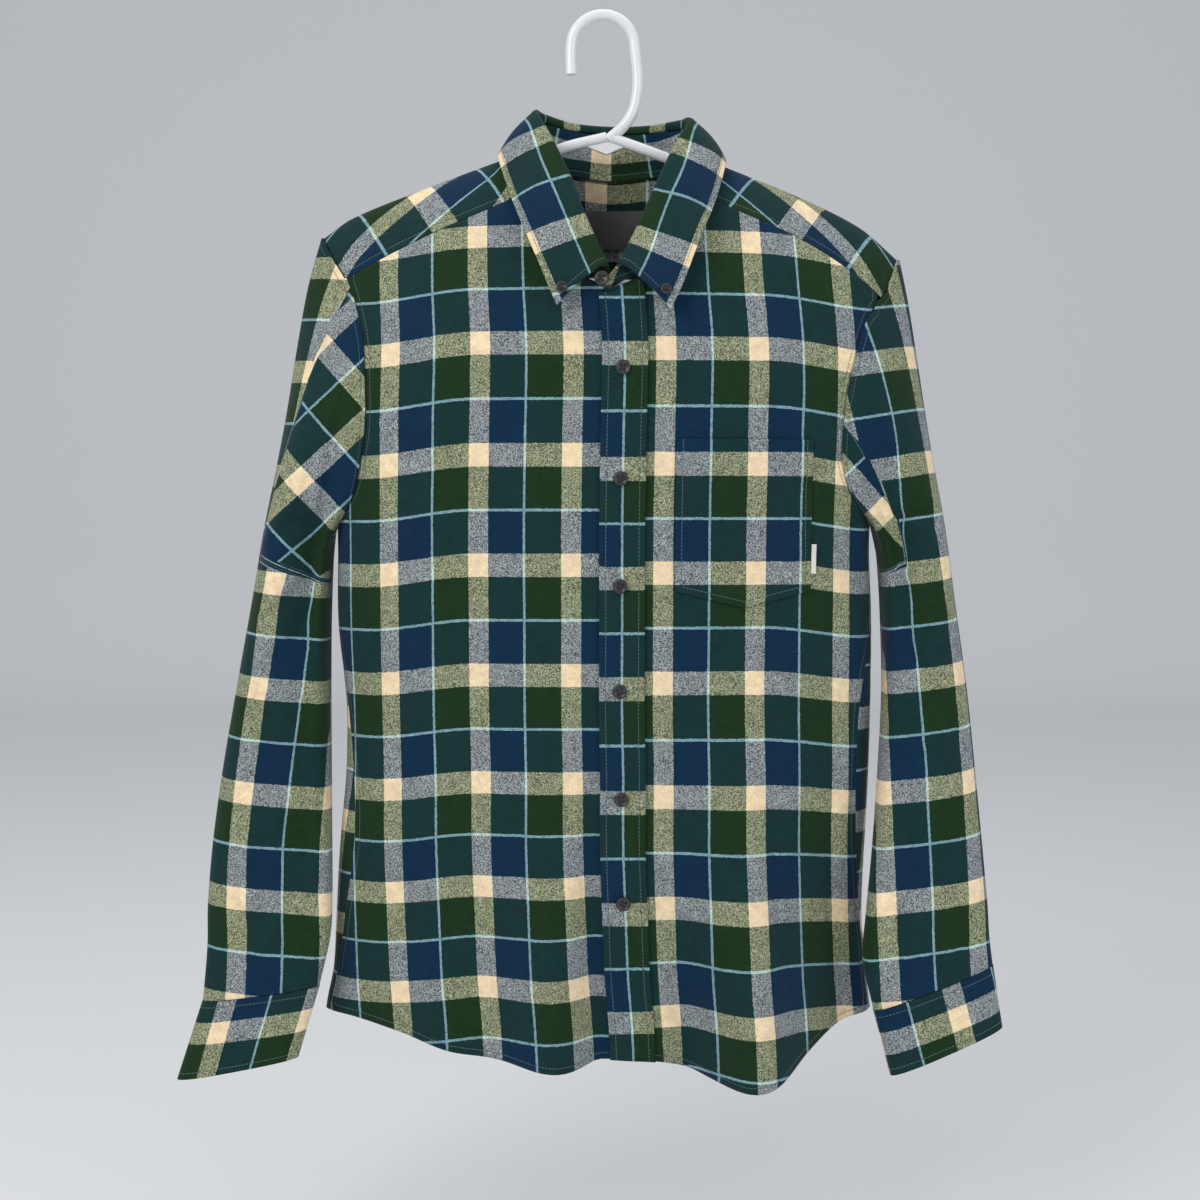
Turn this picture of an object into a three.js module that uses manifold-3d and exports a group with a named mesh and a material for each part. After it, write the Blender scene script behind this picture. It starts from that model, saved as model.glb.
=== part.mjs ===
import * as THREE from 'three';
import { mergeVertices } from 'three/addons/utils/BufferGeometryUtils.js';
import Module from 'manifold-3d';

// Flannel shirt on a tubular hanger. Millimetres, +Z up, the shirt faces -Y.
// The origin is the inner crown of the hook, and the hanger lies in the plane y = 0.
// Right and left are the wearer's, so the right side of the shirt is at -X.

// Driving sizes
const CLOTH = 1.2; // one layer of brushed flannel
const DOUBLE = 1.8; // two layers with an interlining: collar, stand, cuffs, placket
const LABEL = 1.0;
const SEAM = 0.3; // clearance where two pieces meet
const SLOPING_SEAM = 0.8; // the same clearance on the slope of the shoulder, measured downwards
const BUTTON_RADIUS = 5.7;
const SMALL_BUTTON_RADIUS = 4.4;
const BUTTON_THICKNESS = 2.4;
const PLACKET_EDGE = -16; // distances along the cloth from the centre front
const PLACKET_SEAM = 16;
const BUTTON_STAND_EDGE = -12;
const FRONT_START = { right: -BUTTON_STAND_EDGE, left: PLACKET_SEAM }; // from the centre to each front's edge
const SIDE_FOOT = -788; // the hem at the side seams
const UNDERARM = { right: -399, left: -394 };
const YOKE_BACK_SEAM = -232;
const HANGER_TUBE = 4.4;
const SECTION_POWER = 2.6; // how square a level section of the body is
const RIDGE_REACH = 170; // the drop over which the chest reaches its full depth
const RIDGE_POWER = 1.6;

const SIDES = {
  right: { sign: -1, seam: 'seamRight' },
  left: { sign: 1, seam: 'seamLeft' },
};

// Level sections of the body: where its two sides are, its depth in front and behind,
// the level of its sides in y, the centre front and the two side seams
const BODY = [
  { z: -860, right: -229, left: 222, front: 46, back: 66, mid: 10, centre: 24, seamRight: -225, seamLeft: 218 },
  { z: -790, right: -225, left: 217, front: 48, back: 66, mid: 9, centre: 21, seamRight: -220, seamLeft: 214 },
  { z: -753, right: -218, left: 212, front: 50, back: 65, mid: 8, centre: 18, seamRight: -213, seamLeft: 210 },
  { z: -703, right: -215, left: 209, front: 53, back: 64, mid: 7, centre: 16, seamRight: -205, seamLeft: 205 },
  { z: -645, right: -211, left: 211, front: 57, back: 63, mid: 6, centre: 14, seamRight: -197, seamLeft: 201 },
  { z: -595, right: -206, left: 213, front: 60, back: 62, mid: 5, centre: 14, seamRight: -197, seamLeft: 200 },
  { z: -540, right: -205, left: 214, front: 62, back: 60, mid: 4, centre: 13, seamRight: -202, seamLeft: 202 },
  { z: -474, right: -211, left: 214, front: 64, back: 58, mid: 3, centre: 13, seamRight: -210, seamLeft: 212 },
  { z: -399, right: -211, left: 212, front: 66, back: 56, mid: 2, centre: 13, seamRight: -211, seamLeft: 212 },
  { z: -330, right: -216, left: 222, front: 66, back: 54, mid: 1, centre: 14, seamRight: -216, seamLeft: 222 },
  { z: -260, right: -222, left: 232, front: 64, back: 52, mid: 0, centre: 15, seamRight: -222, seamLeft: 232 },
  { z: -207, right: -228, left: 240, front: 62, back: 50, mid: 0, centre: 12, seamRight: -228, seamLeft: 240 },
  { z: -70, right: -236, left: 250, front: 60, back: 50, mid: 0, centre: 8, seamRight: -236, seamLeft: 250 },
];

// The shoulder ridge, where the cloth turns over the hanger, and the drop of the yoke's front seam below it
const RIDGE = [
  { x: -245, z: -186, seamDrop: 52 },
  { x: -221, z: -171, seamDrop: 50 },
  { x: -200, z: -156, seamDrop: 49 },
  { x: -145, z: -133.5, seamDrop: 43 },
  { x: -80, z: -109.5, seamDrop: 39 },
  { x: 6, z: -79, seamDrop: 37 },
  { x: 97, z: -115, seamDrop: 35 },
  { x: 156, z: -139, seamDrop: 37 },
  { x: 204, z: -163, seamDrop: 44 },
  { x: 233, z: -188, seamDrop: 46 },
  { x: 255, z: -206, seamDrop: 46 },
];

// The neckline: the drop below the ridge, minus in front and plus behind
const NECK = [
  { x: 6, drop: -138, turn: -1 },
  { x: -12, drop: -127, turn: -0.9 },
  { x: -30, drop: -108, turn: -0.8 },
  { x: -46, drop: -84, turn: -0.7 },
  { x: -58, drop: -58, turn: -0.6 },
  { x: -66, drop: -37, turn: -0.52 },
  { x: -66, drop: 0, turn: -0.42 },
  { x: -56, drop: 13, turn: -0.3 },
  { x: -30, drop: 31, turn: -0.15 },
  { x: 6, drop: 43, turn: 0 },
  { x: 42, drop: 31, turn: 0.15 },
  { x: 68, drop: 13, turn: 0.3 },
  { x: 78, drop: 0, turn: 0.42 },
  { x: 78, drop: -37, turn: 0.52 },
  { x: 70, drop: -58, turn: 0.6 },
  { x: 58, drop: -84, turn: 0.7 },
  { x: 42, drop: -108, turn: 0.8 },
  { x: 24, drop: -127, turn: 0.9 },
  { x: 6, drop: -138, turn: 1 },
];
const NECK_SIDE = { right: -66, left: 78 }; // where the neckline crosses the ridge

// The armholes in front and behind, from the tip of the shoulder to the underarm
const ARMHOLE = {
  right: [
    { z: -399, front: -211, back: -211 },
    { z: -385, front: -201, back: -209.5 },
    { z: -368, front: -193, back: -206 },
    { z: -342, front: -187, back: -203 },
    { z: -318, front: -184, back: -201 },
    { z: -287, front: -184, back: -201 },
    { z: -254, front: -186, back: -203 },
    { z: -228, front: -192, back: -206 },
    { z: -207, front: -199.5, back: -210 },
    { z: -190, front: -210, back: -215 },
    { z: -171, front: -221, back: -221 },
  ],
  left: [
    { z: -394, front: 212, back: 212 },
    { z: -380, front: 198, back: 209 },
    { z: -364, front: 189, back: 206 },
    { z: -342, front: 185, back: 205 },
    { z: -316, front: 186, back: 206 },
    { z: -288, front: 190, back: 208 },
    { z: -262, front: 197, back: 212 },
    { z: -236, front: 206, back: 218 },
    { z: -209, front: 224, back: 227 },
    { z: -188, front: 233, back: 233 },
  ],
};

// The shirt-tail hem by the distance along the cloth from the centre front, and from the centre back
const FRONT_HEM = [
  { u: -250, z: -787 },
  { u: -220, z: -789 },
  { u: -180, z: -799 },
  { u: -140, z: -811 },
  { u: -100, z: -817 },
  { u: -55, z: -823 },
  { u: -20, z: -818 },
  { u: 0, z: -819 },
  { u: 25, z: -821 },
  { u: 60, z: -830 },
  { u: 90, z: -835 },
  { u: 115, z: -830 },
  { u: 140, z: -812 },
  { u: 170, z: -794 },
  { u: 210, z: -787 },
  { u: 250, z: -787 },
];
const BACK_HEM = [
  { u: 0, z: -838 },
  { u: 80, z: -836 },
  { u: 140, z: -826 },
  { u: 190, z: -805 },
  { u: 230, z: -789 },
  { u: 270, z: -787 },
];

// The largest folds of the body: u along the cloth, from the centre front or the centre back, how far
// they stand out, and the levels between which they grow; lean moves a fold along u on the way down
const FOLDS = [
  { face: 'front', u: 92, width: 36, depth: 42, top: -500, bottom: -835, lean: 8 },
  { face: 'front', u: -58, width: 34, depth: 26, top: -520, bottom: -825, lean: -6 },
  { face: 'front', u: -24, width: 11, depth: -9, top: -480, bottom: -820, lean: -4 },
  { face: 'front', u: -150, width: 26, depth: 8, top: -600, bottom: -812, lean: 6 },
  { face: 'front', u: 42, width: 14, depth: -8, top: -600, bottom: -825, lean: 4 },
  { face: 'front', u: 178, width: 20, depth: -7, top: -600, bottom: -800, lean: 0 },
  { face: 'back', u: -110, width: 34, depth: 20, top: -480, bottom: -835, lean: -8 },
  { face: 'back', u: -30, width: 26, depth: -12, top: -400, bottom: -838, lean: 0 },
  { face: 'back', u: 48, width: 30, depth: 16, top: -450, bottom: -838, lean: 8 },
  { face: 'back', u: 130, width: 28, depth: 12, top: -560, bottom: -830, lean: 6 },
];

// The sleeves, from the armhole to the cuff: the outer and inner edge seen from the front, the level in y,
// the depth in front and behind, how much of the armhole's own shape is left, and the trough in front
const SLEEVE = {
  right: [
    { ox: -221, oz: -171, ix: -211, iz: -399, mid: 0, front: 40, back: 36, armhole: 1, trough: 0 },
    { ox: -232, oz: -208, ix: -214.8, iz: -403, mid: 0, front: 42, back: 40, armhole: 0.8, trough: 5 },
    { ox: -241, oz: -252, ix: -216, iz: -407, mid: 1, front: 44, back: 44, armhole: 0.58, trough: 11 },
    { ox: -249, oz: -298, ix: -216.8, iz: -412, mid: 1, front: 46, back: 47, armhole: 0.36, trough: 16 },
    { ox: -258, oz: -346, ix: -217.4, iz: -419, mid: 1, front: 47, back: 48, armhole: 0.16, trough: 19 },
    { ox: -268, oz: -401, ix: -218, iz: -430, mid: 0, front: 46, back: 47, armhole: 0, trough: 19 },
    { ox: -278, oz: -457, ix: -219, iz: -471, mid: -2, front: 42, back: 43, armhole: 0, trough: 14 },
    { ox: -290, oz: -521, ix: -219, iz: -529, mid: -5, front: 36, back: 38, armhole: 0, trough: 8 },
    { ox: -301, oz: -584, ix: -218, iz: -586, mid: -10, front: 30, back: 32, armhole: 0, trough: 5 },
    { ox: -309, oz: -643, ix: -217, iz: -640, mid: -16, front: 25, back: 27, armhole: 0, trough: 6 },
    { ox: -313, oz: -694, ix: -216, iz: -688, mid: -22, front: 20, back: 22, armhole: 0, trough: 5 },
    { ox: -313, oz: -730, ix: -217, iz: -722, mid: -27, front: 17, back: 18, armhole: 0, trough: 3 },
    { ox: -316, oz: -772, ix: -225, iz: -760, mid: -32, front: 13, back: 13, armhole: 0, trough: 0 },
  ],
  left: [
    { ox: 233, oz: -188, ix: 212, iz: -394, mid: 0, front: 40, back: 36, armhole: 1, trough: 0 },
    { ox: 240, oz: -219, ix: 215.8, iz: -398, mid: 0, front: 42, back: 40, armhole: 0.8, trough: 6 },
    { ox: 247, oz: -257, ix: 217, iz: -402, mid: 1, front: 44, back: 44, armhole: 0.58, trough: 12 },
    { ox: 254, oz: -298, ix: 218.4, iz: -408, mid: 1, front: 46, back: 47, armhole: 0.36, trough: 17 },
    { ox: 261, oz: -343, ix: 220, iz: -416, mid: 0, front: 47, back: 47, armhole: 0.16, trough: 20 },
    { ox: 270, oz: -399, ix: 221.4, iz: -428, mid: -1, front: 46, back: 45, armhole: 0, trough: 18 },
    { ox: 278, oz: -457, ix: 223, iz: -468, mid: -5, front: 42, back: 40, armhole: 0, trough: 10 },
    { ox: 287, oz: -525, ix: 223, iz: -529, mid: -13, front: 36, back: 34, armhole: 0, trough: 6 },
    { ox: 292, oz: -588, ix: 218, iz: -590, mid: -26, front: 31, back: 27, armhole: 0, trough: 5 },
    { ox: 296, oz: -645, ix: 212, iz: -652, mid: -38, front: 26, back: 22, armhole: 0, trough: 6 },
    { ox: 299, oz: -690, ix: 206, iz: -702, mid: -47, front: 21, back: 18, armhole: 0, trough: 5 },
    { ox: 300, oz: -716, ix: 203, iz: -735, mid: -52, front: 17, back: 15, armhole: 0, trough: 3 },
    { ox: 302, oz: -737, ix: 211, iz: -773, mid: -56, front: 13, back: 13, armhole: 0, trough: 0 },
  ],
};
const CUFF = {
  right: { ox: -335, oz: -833, ix: -241, iz: -815, mid: -40, front: 12, back: 12 },
  left: { ox: 309, oz: -785, ix: 224, iz: -823, mid: -60, front: 12, back: 12 },
};

// The collar by its turn round the neck: the fold, and the fall's lower edge, each as x, y and z
const COLLAR = [
  { turn: -1, foldX: 3, foldY: -66, foldZ: -199, edgeX: -35, edgeY: -77, edgeZ: -231 },
  { turn: -0.86, foldX: -12, foldY: -54, foldZ: -165, edgeX: -43, edgeY: -72, edgeZ: -212 },
  { turn: -0.7, foldX: -26, foldY: -41, foldZ: -128, edgeX: -58, edgeY: -59, edgeZ: -176 },
  { turn: -0.55, foldX: -40, foldY: -26, foldZ: -97, edgeX: -71, edgeY: -38, edgeZ: -143 },
  { turn: -0.42, foldX: -52, foldY: -4, foldZ: -72, edgeX: -82, edgeY: -8, edgeZ: -107 },
  { turn: -0.3, foldX: -47, foldY: 16, foldZ: -70, edgeX: -73, edgeY: 27, edgeZ: -111 },
  { turn: -0.15, foldX: -24, foldY: 31, foldZ: -74, edgeX: -38, edgeY: 42, edgeZ: -118 },
  { turn: 0, foldX: 6, foldY: 35, foldZ: -76, edgeX: 6, edgeY: 46, edgeZ: -121 },
  { turn: 0.15, foldX: 36, foldY: 31, foldZ: -76, edgeX: 52, edgeY: 42, edgeZ: -119 },
  { turn: 0.3, foldX: 61, foldY: 16, foldZ: -75, edgeX: 86, edgeY: 27, edgeZ: -114 },
  { turn: 0.42, foldX: 68, foldY: -4, foldZ: -78, edgeX: 96, edgeY: -8, edgeZ: -110 },
  { turn: 0.55, foldX: 56, foldY: -26, foldZ: -102, edgeX: 87, edgeY: -38, edgeZ: -145 },
  { turn: 0.7, foldX: 42, foldY: -41, foldZ: -133, edgeX: 74, edgeY: -59, edgeZ: -178 },
  { turn: 0.86, foldX: 27, foldY: -54, foldZ: -168, edgeX: 60, edgeY: -72, edgeZ: -215 },
  { turn: 1, foldX: 12, foldY: -66, foldZ: -199, edgeX: 51, edgeY: -77, edgeZ: -234 },
];

// Buttons on the placket, by level
const FRONT_BUTTONS = [-277, -361, -443, -524, -608, -691];
const POINT_BUTTONS = {
  right: { x: -31, z: -218 },
  left: { x: 47, z: -220 },
};

// The chest pocket on the left front: u is the distance along the cloth from the centre front
const POCKET = { inner: 42, outer: 148, top: -331, side: -447, point: -460 };
const POCKET_FLAG = { width: 4, top: -411, bottom: -434 };
const NECK_LABEL = { left: -15, right: 37, top: -143, bottom: -172 };
const SIZE_TAB = { left: -3, right: 23, top: -157, bottom: -173 };

const MATERIALS = {
  flannel: new THREE.MeshStandardMaterial({ color: 0x1d4a4c, roughness: 0.95, metalness: 0 }),
  button: new THREE.MeshStandardMaterial({ color: 0x2b2d31, roughness: 0.35, metalness: 0 }),
  label: new THREE.MeshStandardMaterial({ color: 0x5a595c, roughness: 0.7, metalness: 0 }),
  flag: new THREE.MeshStandardMaterial({ color: 0xe9e6dc, roughness: 0.8, metalness: 0 }),
  hanger: new THREE.MeshStandardMaterial({ color: 0xf3f4f6, roughness: 0.3, metalness: 0 }),
};

const shirt = new THREE.Group();
const vec = (x, y, z) => new THREE.Vector3(x, y, z);
const mix = (a, b, t) => a + (b - a) * t;
const clamp01 = (t) => Math.min(1, Math.max(0, t));
const smooth = (t) => clamp01(t) ** 2 * (3 - 2 * clamp01(t));

// Reads one column of a table by another, along a smooth curve through its rows
function read(table, by, at, column) {
  const last = table.length - 1;
  const value = (k) => table[k][column];
  const key = (k) => table[k][by];
  if (at <= key(0)) return value(0);
  if (at >= key(last)) return value(last);
  let k = 0;
  while (key(k + 1) < at) k += 1;
  const slope = (n) => {
    const a = Math.max(0, n - 1);
    const b = Math.min(last, n + 1);
    return (value(b) - value(a)) / (key(b) - key(a));
  };
  const span = key(k + 1) - key(k);
  const t = (at - key(k)) / span;
  const rise = value(k) * (2 * t ** 3 - 3 * t ** 2 + 1) + value(k + 1) * (3 * t ** 2 - 2 * t ** 3);
  return rise + span * (slope(k) * (t ** 3 - 2 * t ** 2 + t) + slope(k + 1) * (t ** 3 - t ** 2));
}

const ridgeZ = (x) => read(RIDGE, 'x', x, 'z');

// How far the chest has come forward at a drop below the ridge, from 0 to 1
function fullness(drop) {
  const rest = 1 - clamp01(drop / RIDGE_REACH);
  return (1 - rest ** RIDGE_POWER) ** (1 / RIDGE_POWER);
}

// A level section of the body as a closed run of points, with the distance along it
const sections = new Map();
function section(z) {
  const key = z.toFixed(2);
  if (sections.has(key)) return sections.get(key);
  const row = (column) => read(BODY, 'z', z, column);
  const centreX = (row('left') + row('right')) / 2;
  const half = (row('left') - row('right')) / 2;
  const exponent = 2 / SECTION_POWER;
  const steps = 160;
  const points = [];
  // From the right side across the front to the left side, and back behind
  for (let k = 0; k <= steps; k += 1) {
    const angle = (2 * Math.PI * k) / steps;
    const across = Math.sign(Math.cos(angle)) * Math.abs(Math.cos(angle)) ** exponent;
    const out = Math.abs(Math.sin(angle)) ** exponent;
    const x = centreX - half * across;
    const depth = k <= steps / 2 ? -row('front') : row('back');
    points.push({ x, y: row('mid') + depth * out * fullness(ridgeZ(x) - z), length: 0 });
  }
  for (let k = 1; k <= steps; k += 1) {
    const from = points[k - 1];
    points[k].length = from.length + Math.hypot(points[k].x - from.x, points[k].y - from.y);
  }
  const found = { points, total: points[steps].length, half: steps / 2 };
  sections.set(key, found);
  found.centre = lengthAt(z, 'front', row('centre'));
  found.centreBack = lengthAt(z, 'back', row('centre') - 6);
  return found;
}

// The distance along a level section at which its front or back face passes x
function lengthAt(z, face, x) {
  const { points, half } = section(z);
  const start = face === 'front' ? 0 : half;
  const heading = face === 'front' ? 1 : -1;
  for (let k = start; k < start + half; k += 1) {
    const a = points[k];
    const b = points[k + 1];
    if ((b.x - x) * heading >= 0) {
      const t = clamp01((x - a.x) / (b.x - a.x || 1));
      return mix(a.length, b.length, t);
    }
  }
  return points[start + half].length;
}

// The folds fade out towards the side seams
const FOLD_LIMIT = { front: 198, back: 240 };
const FOLD_FADE = 30;

function foldDepth(face, u, z) {
  const fade = smooth((FOLD_LIMIT[face] - Math.abs(u)) / FOLD_FADE);
  if (fade === 0) return 0;
  let sum = 0;
  for (const fold of FOLDS) {
    if (fold.face !== face) continue;
    const grown = smooth((fold.top - z) / (fold.top - fold.bottom));
    const off = (u - fold.u - fold.lean * grown) / fold.width;
    sum += fold.depth * grown * Math.exp(-off * off);
  }
  return fade * sum;
}

// A point of the body's cloth: the distance along the section from the centre front or back, towards +X
function bodyPoint(face, u, z) {
  const level = section(z);
  const wanted = face === 'front' ? level.centre + u : level.centreBack - u;
  const at = ((wanted % level.total) + level.total) % level.total;
  let low = 0;
  let high = level.points.length - 1;
  while (high - low > 1) {
    const middle = (low + high) >> 1;
    if (level.points[middle].length > at) high = middle;
    else low = middle;
  }
  const a = level.points[low];
  const b = level.points[high];
  const t = (at - a.length) / (b.length - a.length);
  const out = face === 'front' ? -1 : 1;
  return vec(mix(a.x, b.x, t), mix(a.y, b.y, t) + out * foldDepth(face, u, z), z);
}

// A point near the shoulder, by x and the drop below the ridge, minus in front and plus behind
function shoulderPoint(x, drop) {
  const z = ridgeZ(x) - Math.abs(drop);
  const row = (column) => read(BODY, 'z', z, column);
  const across = (x - (row('left') + row('right')) / 2) / ((row('left') - row('right')) / 2);
  const out = (1 - Math.min(1, Math.abs(across)) ** SECTION_POWER) ** (1 / SECTION_POWER);
  const depth = drop < 0 ? -row('front') : row('back');
  return vec(x, row('mid') + depth * out * fullness(Math.abs(drop)), z);
}

// The normal of a surface given by a function of two numbers
function normalOf(pointAt, a, b, stepA, stepB) {
  const alongA = pointAt(a + stepA, b).sub(pointAt(a - stepA, b));
  const alongB = pointAt(a, b + stepB).sub(pointAt(a, b - stepB));
  return alongA.cross(alongB).normalize();
}

// The outward normal of the body's cloth
function bodyNormal(face, u, z) {
  const normal = normalOf((a, b) => bodyPoint(face, a, b), u, z, 1, 1);
  return face === 'front' ? normal : normal.negate();
}

// A closed wall round a sheet of points: middle[i][j] is a point and normals[i][j] its normal.
// keep says which cells are cloth, and wrap joins the last column to the first.
function wall(middle, normals, thickness, { wrap = false, keep = () => true } = {}) {
  const columns = middle.length;
  const rows = middle[0].length;
  const index = (i, j, inner) => ((i % columns) * rows + j) * 2 + (inner ? 1 : 0);
  const positions = [];
  for (let i = 0; i < columns; i += 1) {
    for (let j = 0; j < rows; j += 1) {
      for (const side of [0.5, -0.5]) {
        const p = middle[i][j].clone().addScaledVector(normals[i][j], side * thickness);
        positions.push(p.x, p.y, p.z);
      }
    }
  }
  const cells = wrap ? columns : columns - 1;
  const isCloth = (i, j) => {
    if (j < 0 || j >= rows - 1) return false;
    if (!wrap && (i < 0 || i >= cells)) return false;
    return keep((i + cells) % cells, j);
  };
  const faces = [];
  const quad = (a, b, c, d) => faces.push(a, b, c, a, c, d);
  for (let i = 0; i < cells; i += 1) {
    for (let j = 0; j < rows - 1; j += 1) {
      if (!isCloth(i, j)) continue;
      quad(index(i, j), index(i + 1, j), index(i + 1, j + 1), index(i, j + 1));
      quad(index(i, j, true), index(i, j + 1, true), index(i + 1, j + 1, true), index(i + 1, j, true));
      const rim = (i0, j0, i1, j1) =>
        quad(index(i1, j1), index(i0, j0), index(i0, j0, true), index(i1, j1, true));
      if (!isCloth(i, j - 1)) rim(i, j, i + 1, j);
      if (!isCloth(i + 1, j)) rim(i + 1, j, i + 1, j + 1);
      if (!isCloth(i, j + 1)) rim(i + 1, j + 1, i, j + 1);
      if (!isCloth(i - 1, j)) rim(i, j + 1, i, j);
    }
  }
  const used = new Map();
  const kept = [];
  const order = faces.map((k) => {
    if (!used.has(k)) {
      used.set(k, used.size);
      kept.push(positions[3 * k], positions[3 * k + 1], positions[3 * k + 2]);
    }
    return used.get(k);
  });
  const geometry = new THREE.BufferGeometry();
  geometry.setAttribute('position', new THREE.Float32BufferAttribute(kept, 3));
  geometry.setIndex(volume(kept, order) < 0 ? order.reverse() : order);
  return geometry;
}

function volume(positions, order) {
  const corner = (k) => vec(...[0, 1, 2].map((axis) => positions[3 * order[k] + axis]));
  let sum = 0;
  for (let k = 0; k < order.length; k += 3) sum += corner(k).dot(corner(k + 1).cross(corner(k + 2)));
  return sum;
}

function add(name, geometry, material) {
  const mesh = new THREE.Mesh(geometry, material);
  mesh.name = name;
  shirt.add(mesh);
  return mesh;
}

// The normals of a grid from its own points
function gridNormals(middle, wrap) {
  const columns = middle.length;
  const rows = middle[0].length;
  return middle.map((line, i) => line.map((_, j) => {
    const before = wrap ? (i + columns - 1) % columns : Math.max(0, i - 1);
    const after = wrap ? (i + 1) % columns : Math.min(columns - 1, i + 1);
    const across = middle[after][j].clone().sub(middle[before][j]);
    const down = middle[i][Math.min(rows - 1, j + 1)].clone().sub(middle[i][Math.max(0, j - 1)]);
    return across.cross(down).normalize();
  }));
}

const spread = (from, to, count) => Array.from({ length: count + 1 }, (_, k) => mix(from, to, k / count));

// Fronts and back. A panel's rows follow these levels at its side edge.
const SIDE_LEVELS = [0, 0.08, 0.17, 0.26, 0.35, 0.44, 0.53, 0.62, 0.71, 0.8, 0.9, 1];
const ARM_LEVELS = [0, 0.045, 0.11, 0.23, 0.38, 0.55, 0.72, 0.88, 1];
const FRONT_COLUMNS = 14;
const COLUMN_SPACING = 1.4; // closer columns at the centre front
const BACK_COLUMNS = 20;

// The distance along the cloth from the centre to the side seam or the armhole, at a level
function edgeReach(side, face, z) {
  const { sign, seam } = SIDES[side];
  const level = section(z);
  const seamLength = lengthAt(z, 'front', read(BODY, 'z', z, seam));
  const armX = z > UNDERARM[side] ? read(ARMHOLE[side], 'z', z, face) : null;
  if (face === 'front') {
    const length = armX === null ? seamLength : lengthAt(z, 'front', armX);
    return (length - level.centre) * sign;
  }
  if (armX !== null) return (level.centreBack - lengthAt(z, 'back', armX)) * sign;
  return side === 'left' ? level.centreBack - seamLength : seamLength + level.total - level.centreBack;
}

// The level of the front's top edge, the neckline and then the yoke's seam, above a place along the cloth
function frontTop(side, share) {
  let low = -400;
  let high = -90;
  for (let k = 0; k < 26; k += 1) {
    const z = (low + high) / 2;
    const x = frontAt(side, share, z).x;
    if (z < frontTopAt(side, x)) low = z;
    else high = z;
  }
  return low;
}

function frontTopAt(side, x) {
  const neckRows = NECK.filter((row) => (side === 'right' ? row.turn <= -0.52 : row.turn >= 0.52));
  const byX = [...neckRows].sort((a, b) => a.x - b.x);
  const beyond = side === 'right' ? x < NECK_SIDE.right : x > NECK_SIDE.left;
  return beyond ? ridgeZ(x) - read(RIDGE, 'x', x, 'seamDrop') : ridgeZ(x) + read(byX, 'x', x, 'drop');
}

// The distance along the cloth of a front's point, by its share of the way from the centre to the side
const CORNER_TRIM = 4; // the top corner is cut back this far below the yoke's seam
function frontReach(side, share, z) {
  const { sign } = SIDES[side];
  const level = Math.min(z, SEAM_END[side] - CORNER_TRIM);
  return sign * mix(FRONT_START[side], edgeReach(side, 'front', level), share);
}

const frontAt = (side, share, z) => bodyPoint('front', frontReach(side, share, z), z);

// The level at which the yoke's front seam reaches the armhole
const SEAM_END = { right: seamEnd('right', -200), left: seamEnd('left', 216) };

function seamEnd(side, guess) {
  let x = guess;
  for (let k = 0; k < 24; k += 1) {
    x = read(ARMHOLE[side], 'z', ridgeZ(x) - read(RIDGE, 'x', x, 'seamDrop'), 'front');
  }
  return ridgeZ(x) - read(RIDGE, 'x', x, 'seamDrop');
}

function panelLevels(bottom, underarm, top) {
  const below = SIDE_LEVELS.map((k) => mix(bottom, underarm, k));
  const above = ARM_LEVELS.slice(1).map((k) => mix(underarm, top, k));
  return [...below, ...above].map((z) => (z - bottom) / (top - bottom));
}

function frontPanel(side) {
  const { sign } = SIDES[side];
  const reachAtHem = edgeReach(side, 'front', SIDE_FOOT);
  const hemAt = (share) => read(FRONT_HEM, 'u', sign * mix(FRONT_START[side], reachAtHem, share), 'z');
  const topEdge = frontTop(side, 1);
  const levels = panelLevels(hemAt(1), UNDERARM[side], topEdge);
  const inset = SEAM / 2 / reachAtHem;
  const shares = spread(0, 1, FRONT_COLUMNS).map((t) => mix(inset, 1 - inset, t ** COLUMN_SPACING));
  const tops = shares.map((share) => frontTop(side, share) - SLOPING_SEAM / 2);
  const at = (share, level) => {
    const top = read(shares.map((s, k) => ({ share: s, top: tops[k] })), 'share', share, 'top');
    return frontAt(side, share, mix(hemAt(share), top, level));
  };
  const middle = shares.map((share) => levels.map((level) => at(share, level)));
  const normals = middle.map((line, i) => line.map((p) =>
    bodyNormal('front', frontReach(side, shares[i], p.z), p.z)));
  return { middle, normals, levels, shares };
}

const fronts = { right: frontPanel('right'), left: frontPanel('left') };
for (const side of ['right', 'left']) {
  add(`front_${side}`, wall(fronts[side].middle, fronts[side].normals, CLOTH), MATERIALS.flannel);
}

// The back, from the hem to the yoke's seam; shares run from -1 at the right side to 1 at the left
function backPanel() {
  const hemReach = edgeReach('left', 'back', SIDE_FOOT);
  const bottom = read(BACK_HEM, 'u', hemReach, 'z');
  const top = YOKE_BACK_SEAM - SLOPING_SEAM / 2;
  const underarm = (share) => mix(UNDERARM.right, UNDERARM.left, (share + 1) / 2);
  const inset = SEAM / 2 / hemReach;
  const reachAt = (share, z) => share * edgeReach(share < 0 ? 'right' : 'left', 'back', z);
  const shares = spread(-1 + inset, 1 - inset, BACK_COLUMNS);
  const middle = [];
  const normals = [];
  for (const share of shares) {
    const hem = read(BACK_HEM, 'u', Math.abs(share) * hemReach, 'z');
    const levels = panelLevels(bottom, underarm(share), top);
    const line = levels.map((level) => mix(hem, top, level));
    middle.push(line.map((z) => bodyPoint('back', reachAt(share, z), z)));
    normals.push(line.map((z) => bodyNormal('back', reachAt(share, z), z)));
  }
  return { middle, normals };
}

const back = backPanel();
add('back', wall(back.middle, back.normals, CLOTH), MATERIALS.flannel);

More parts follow.
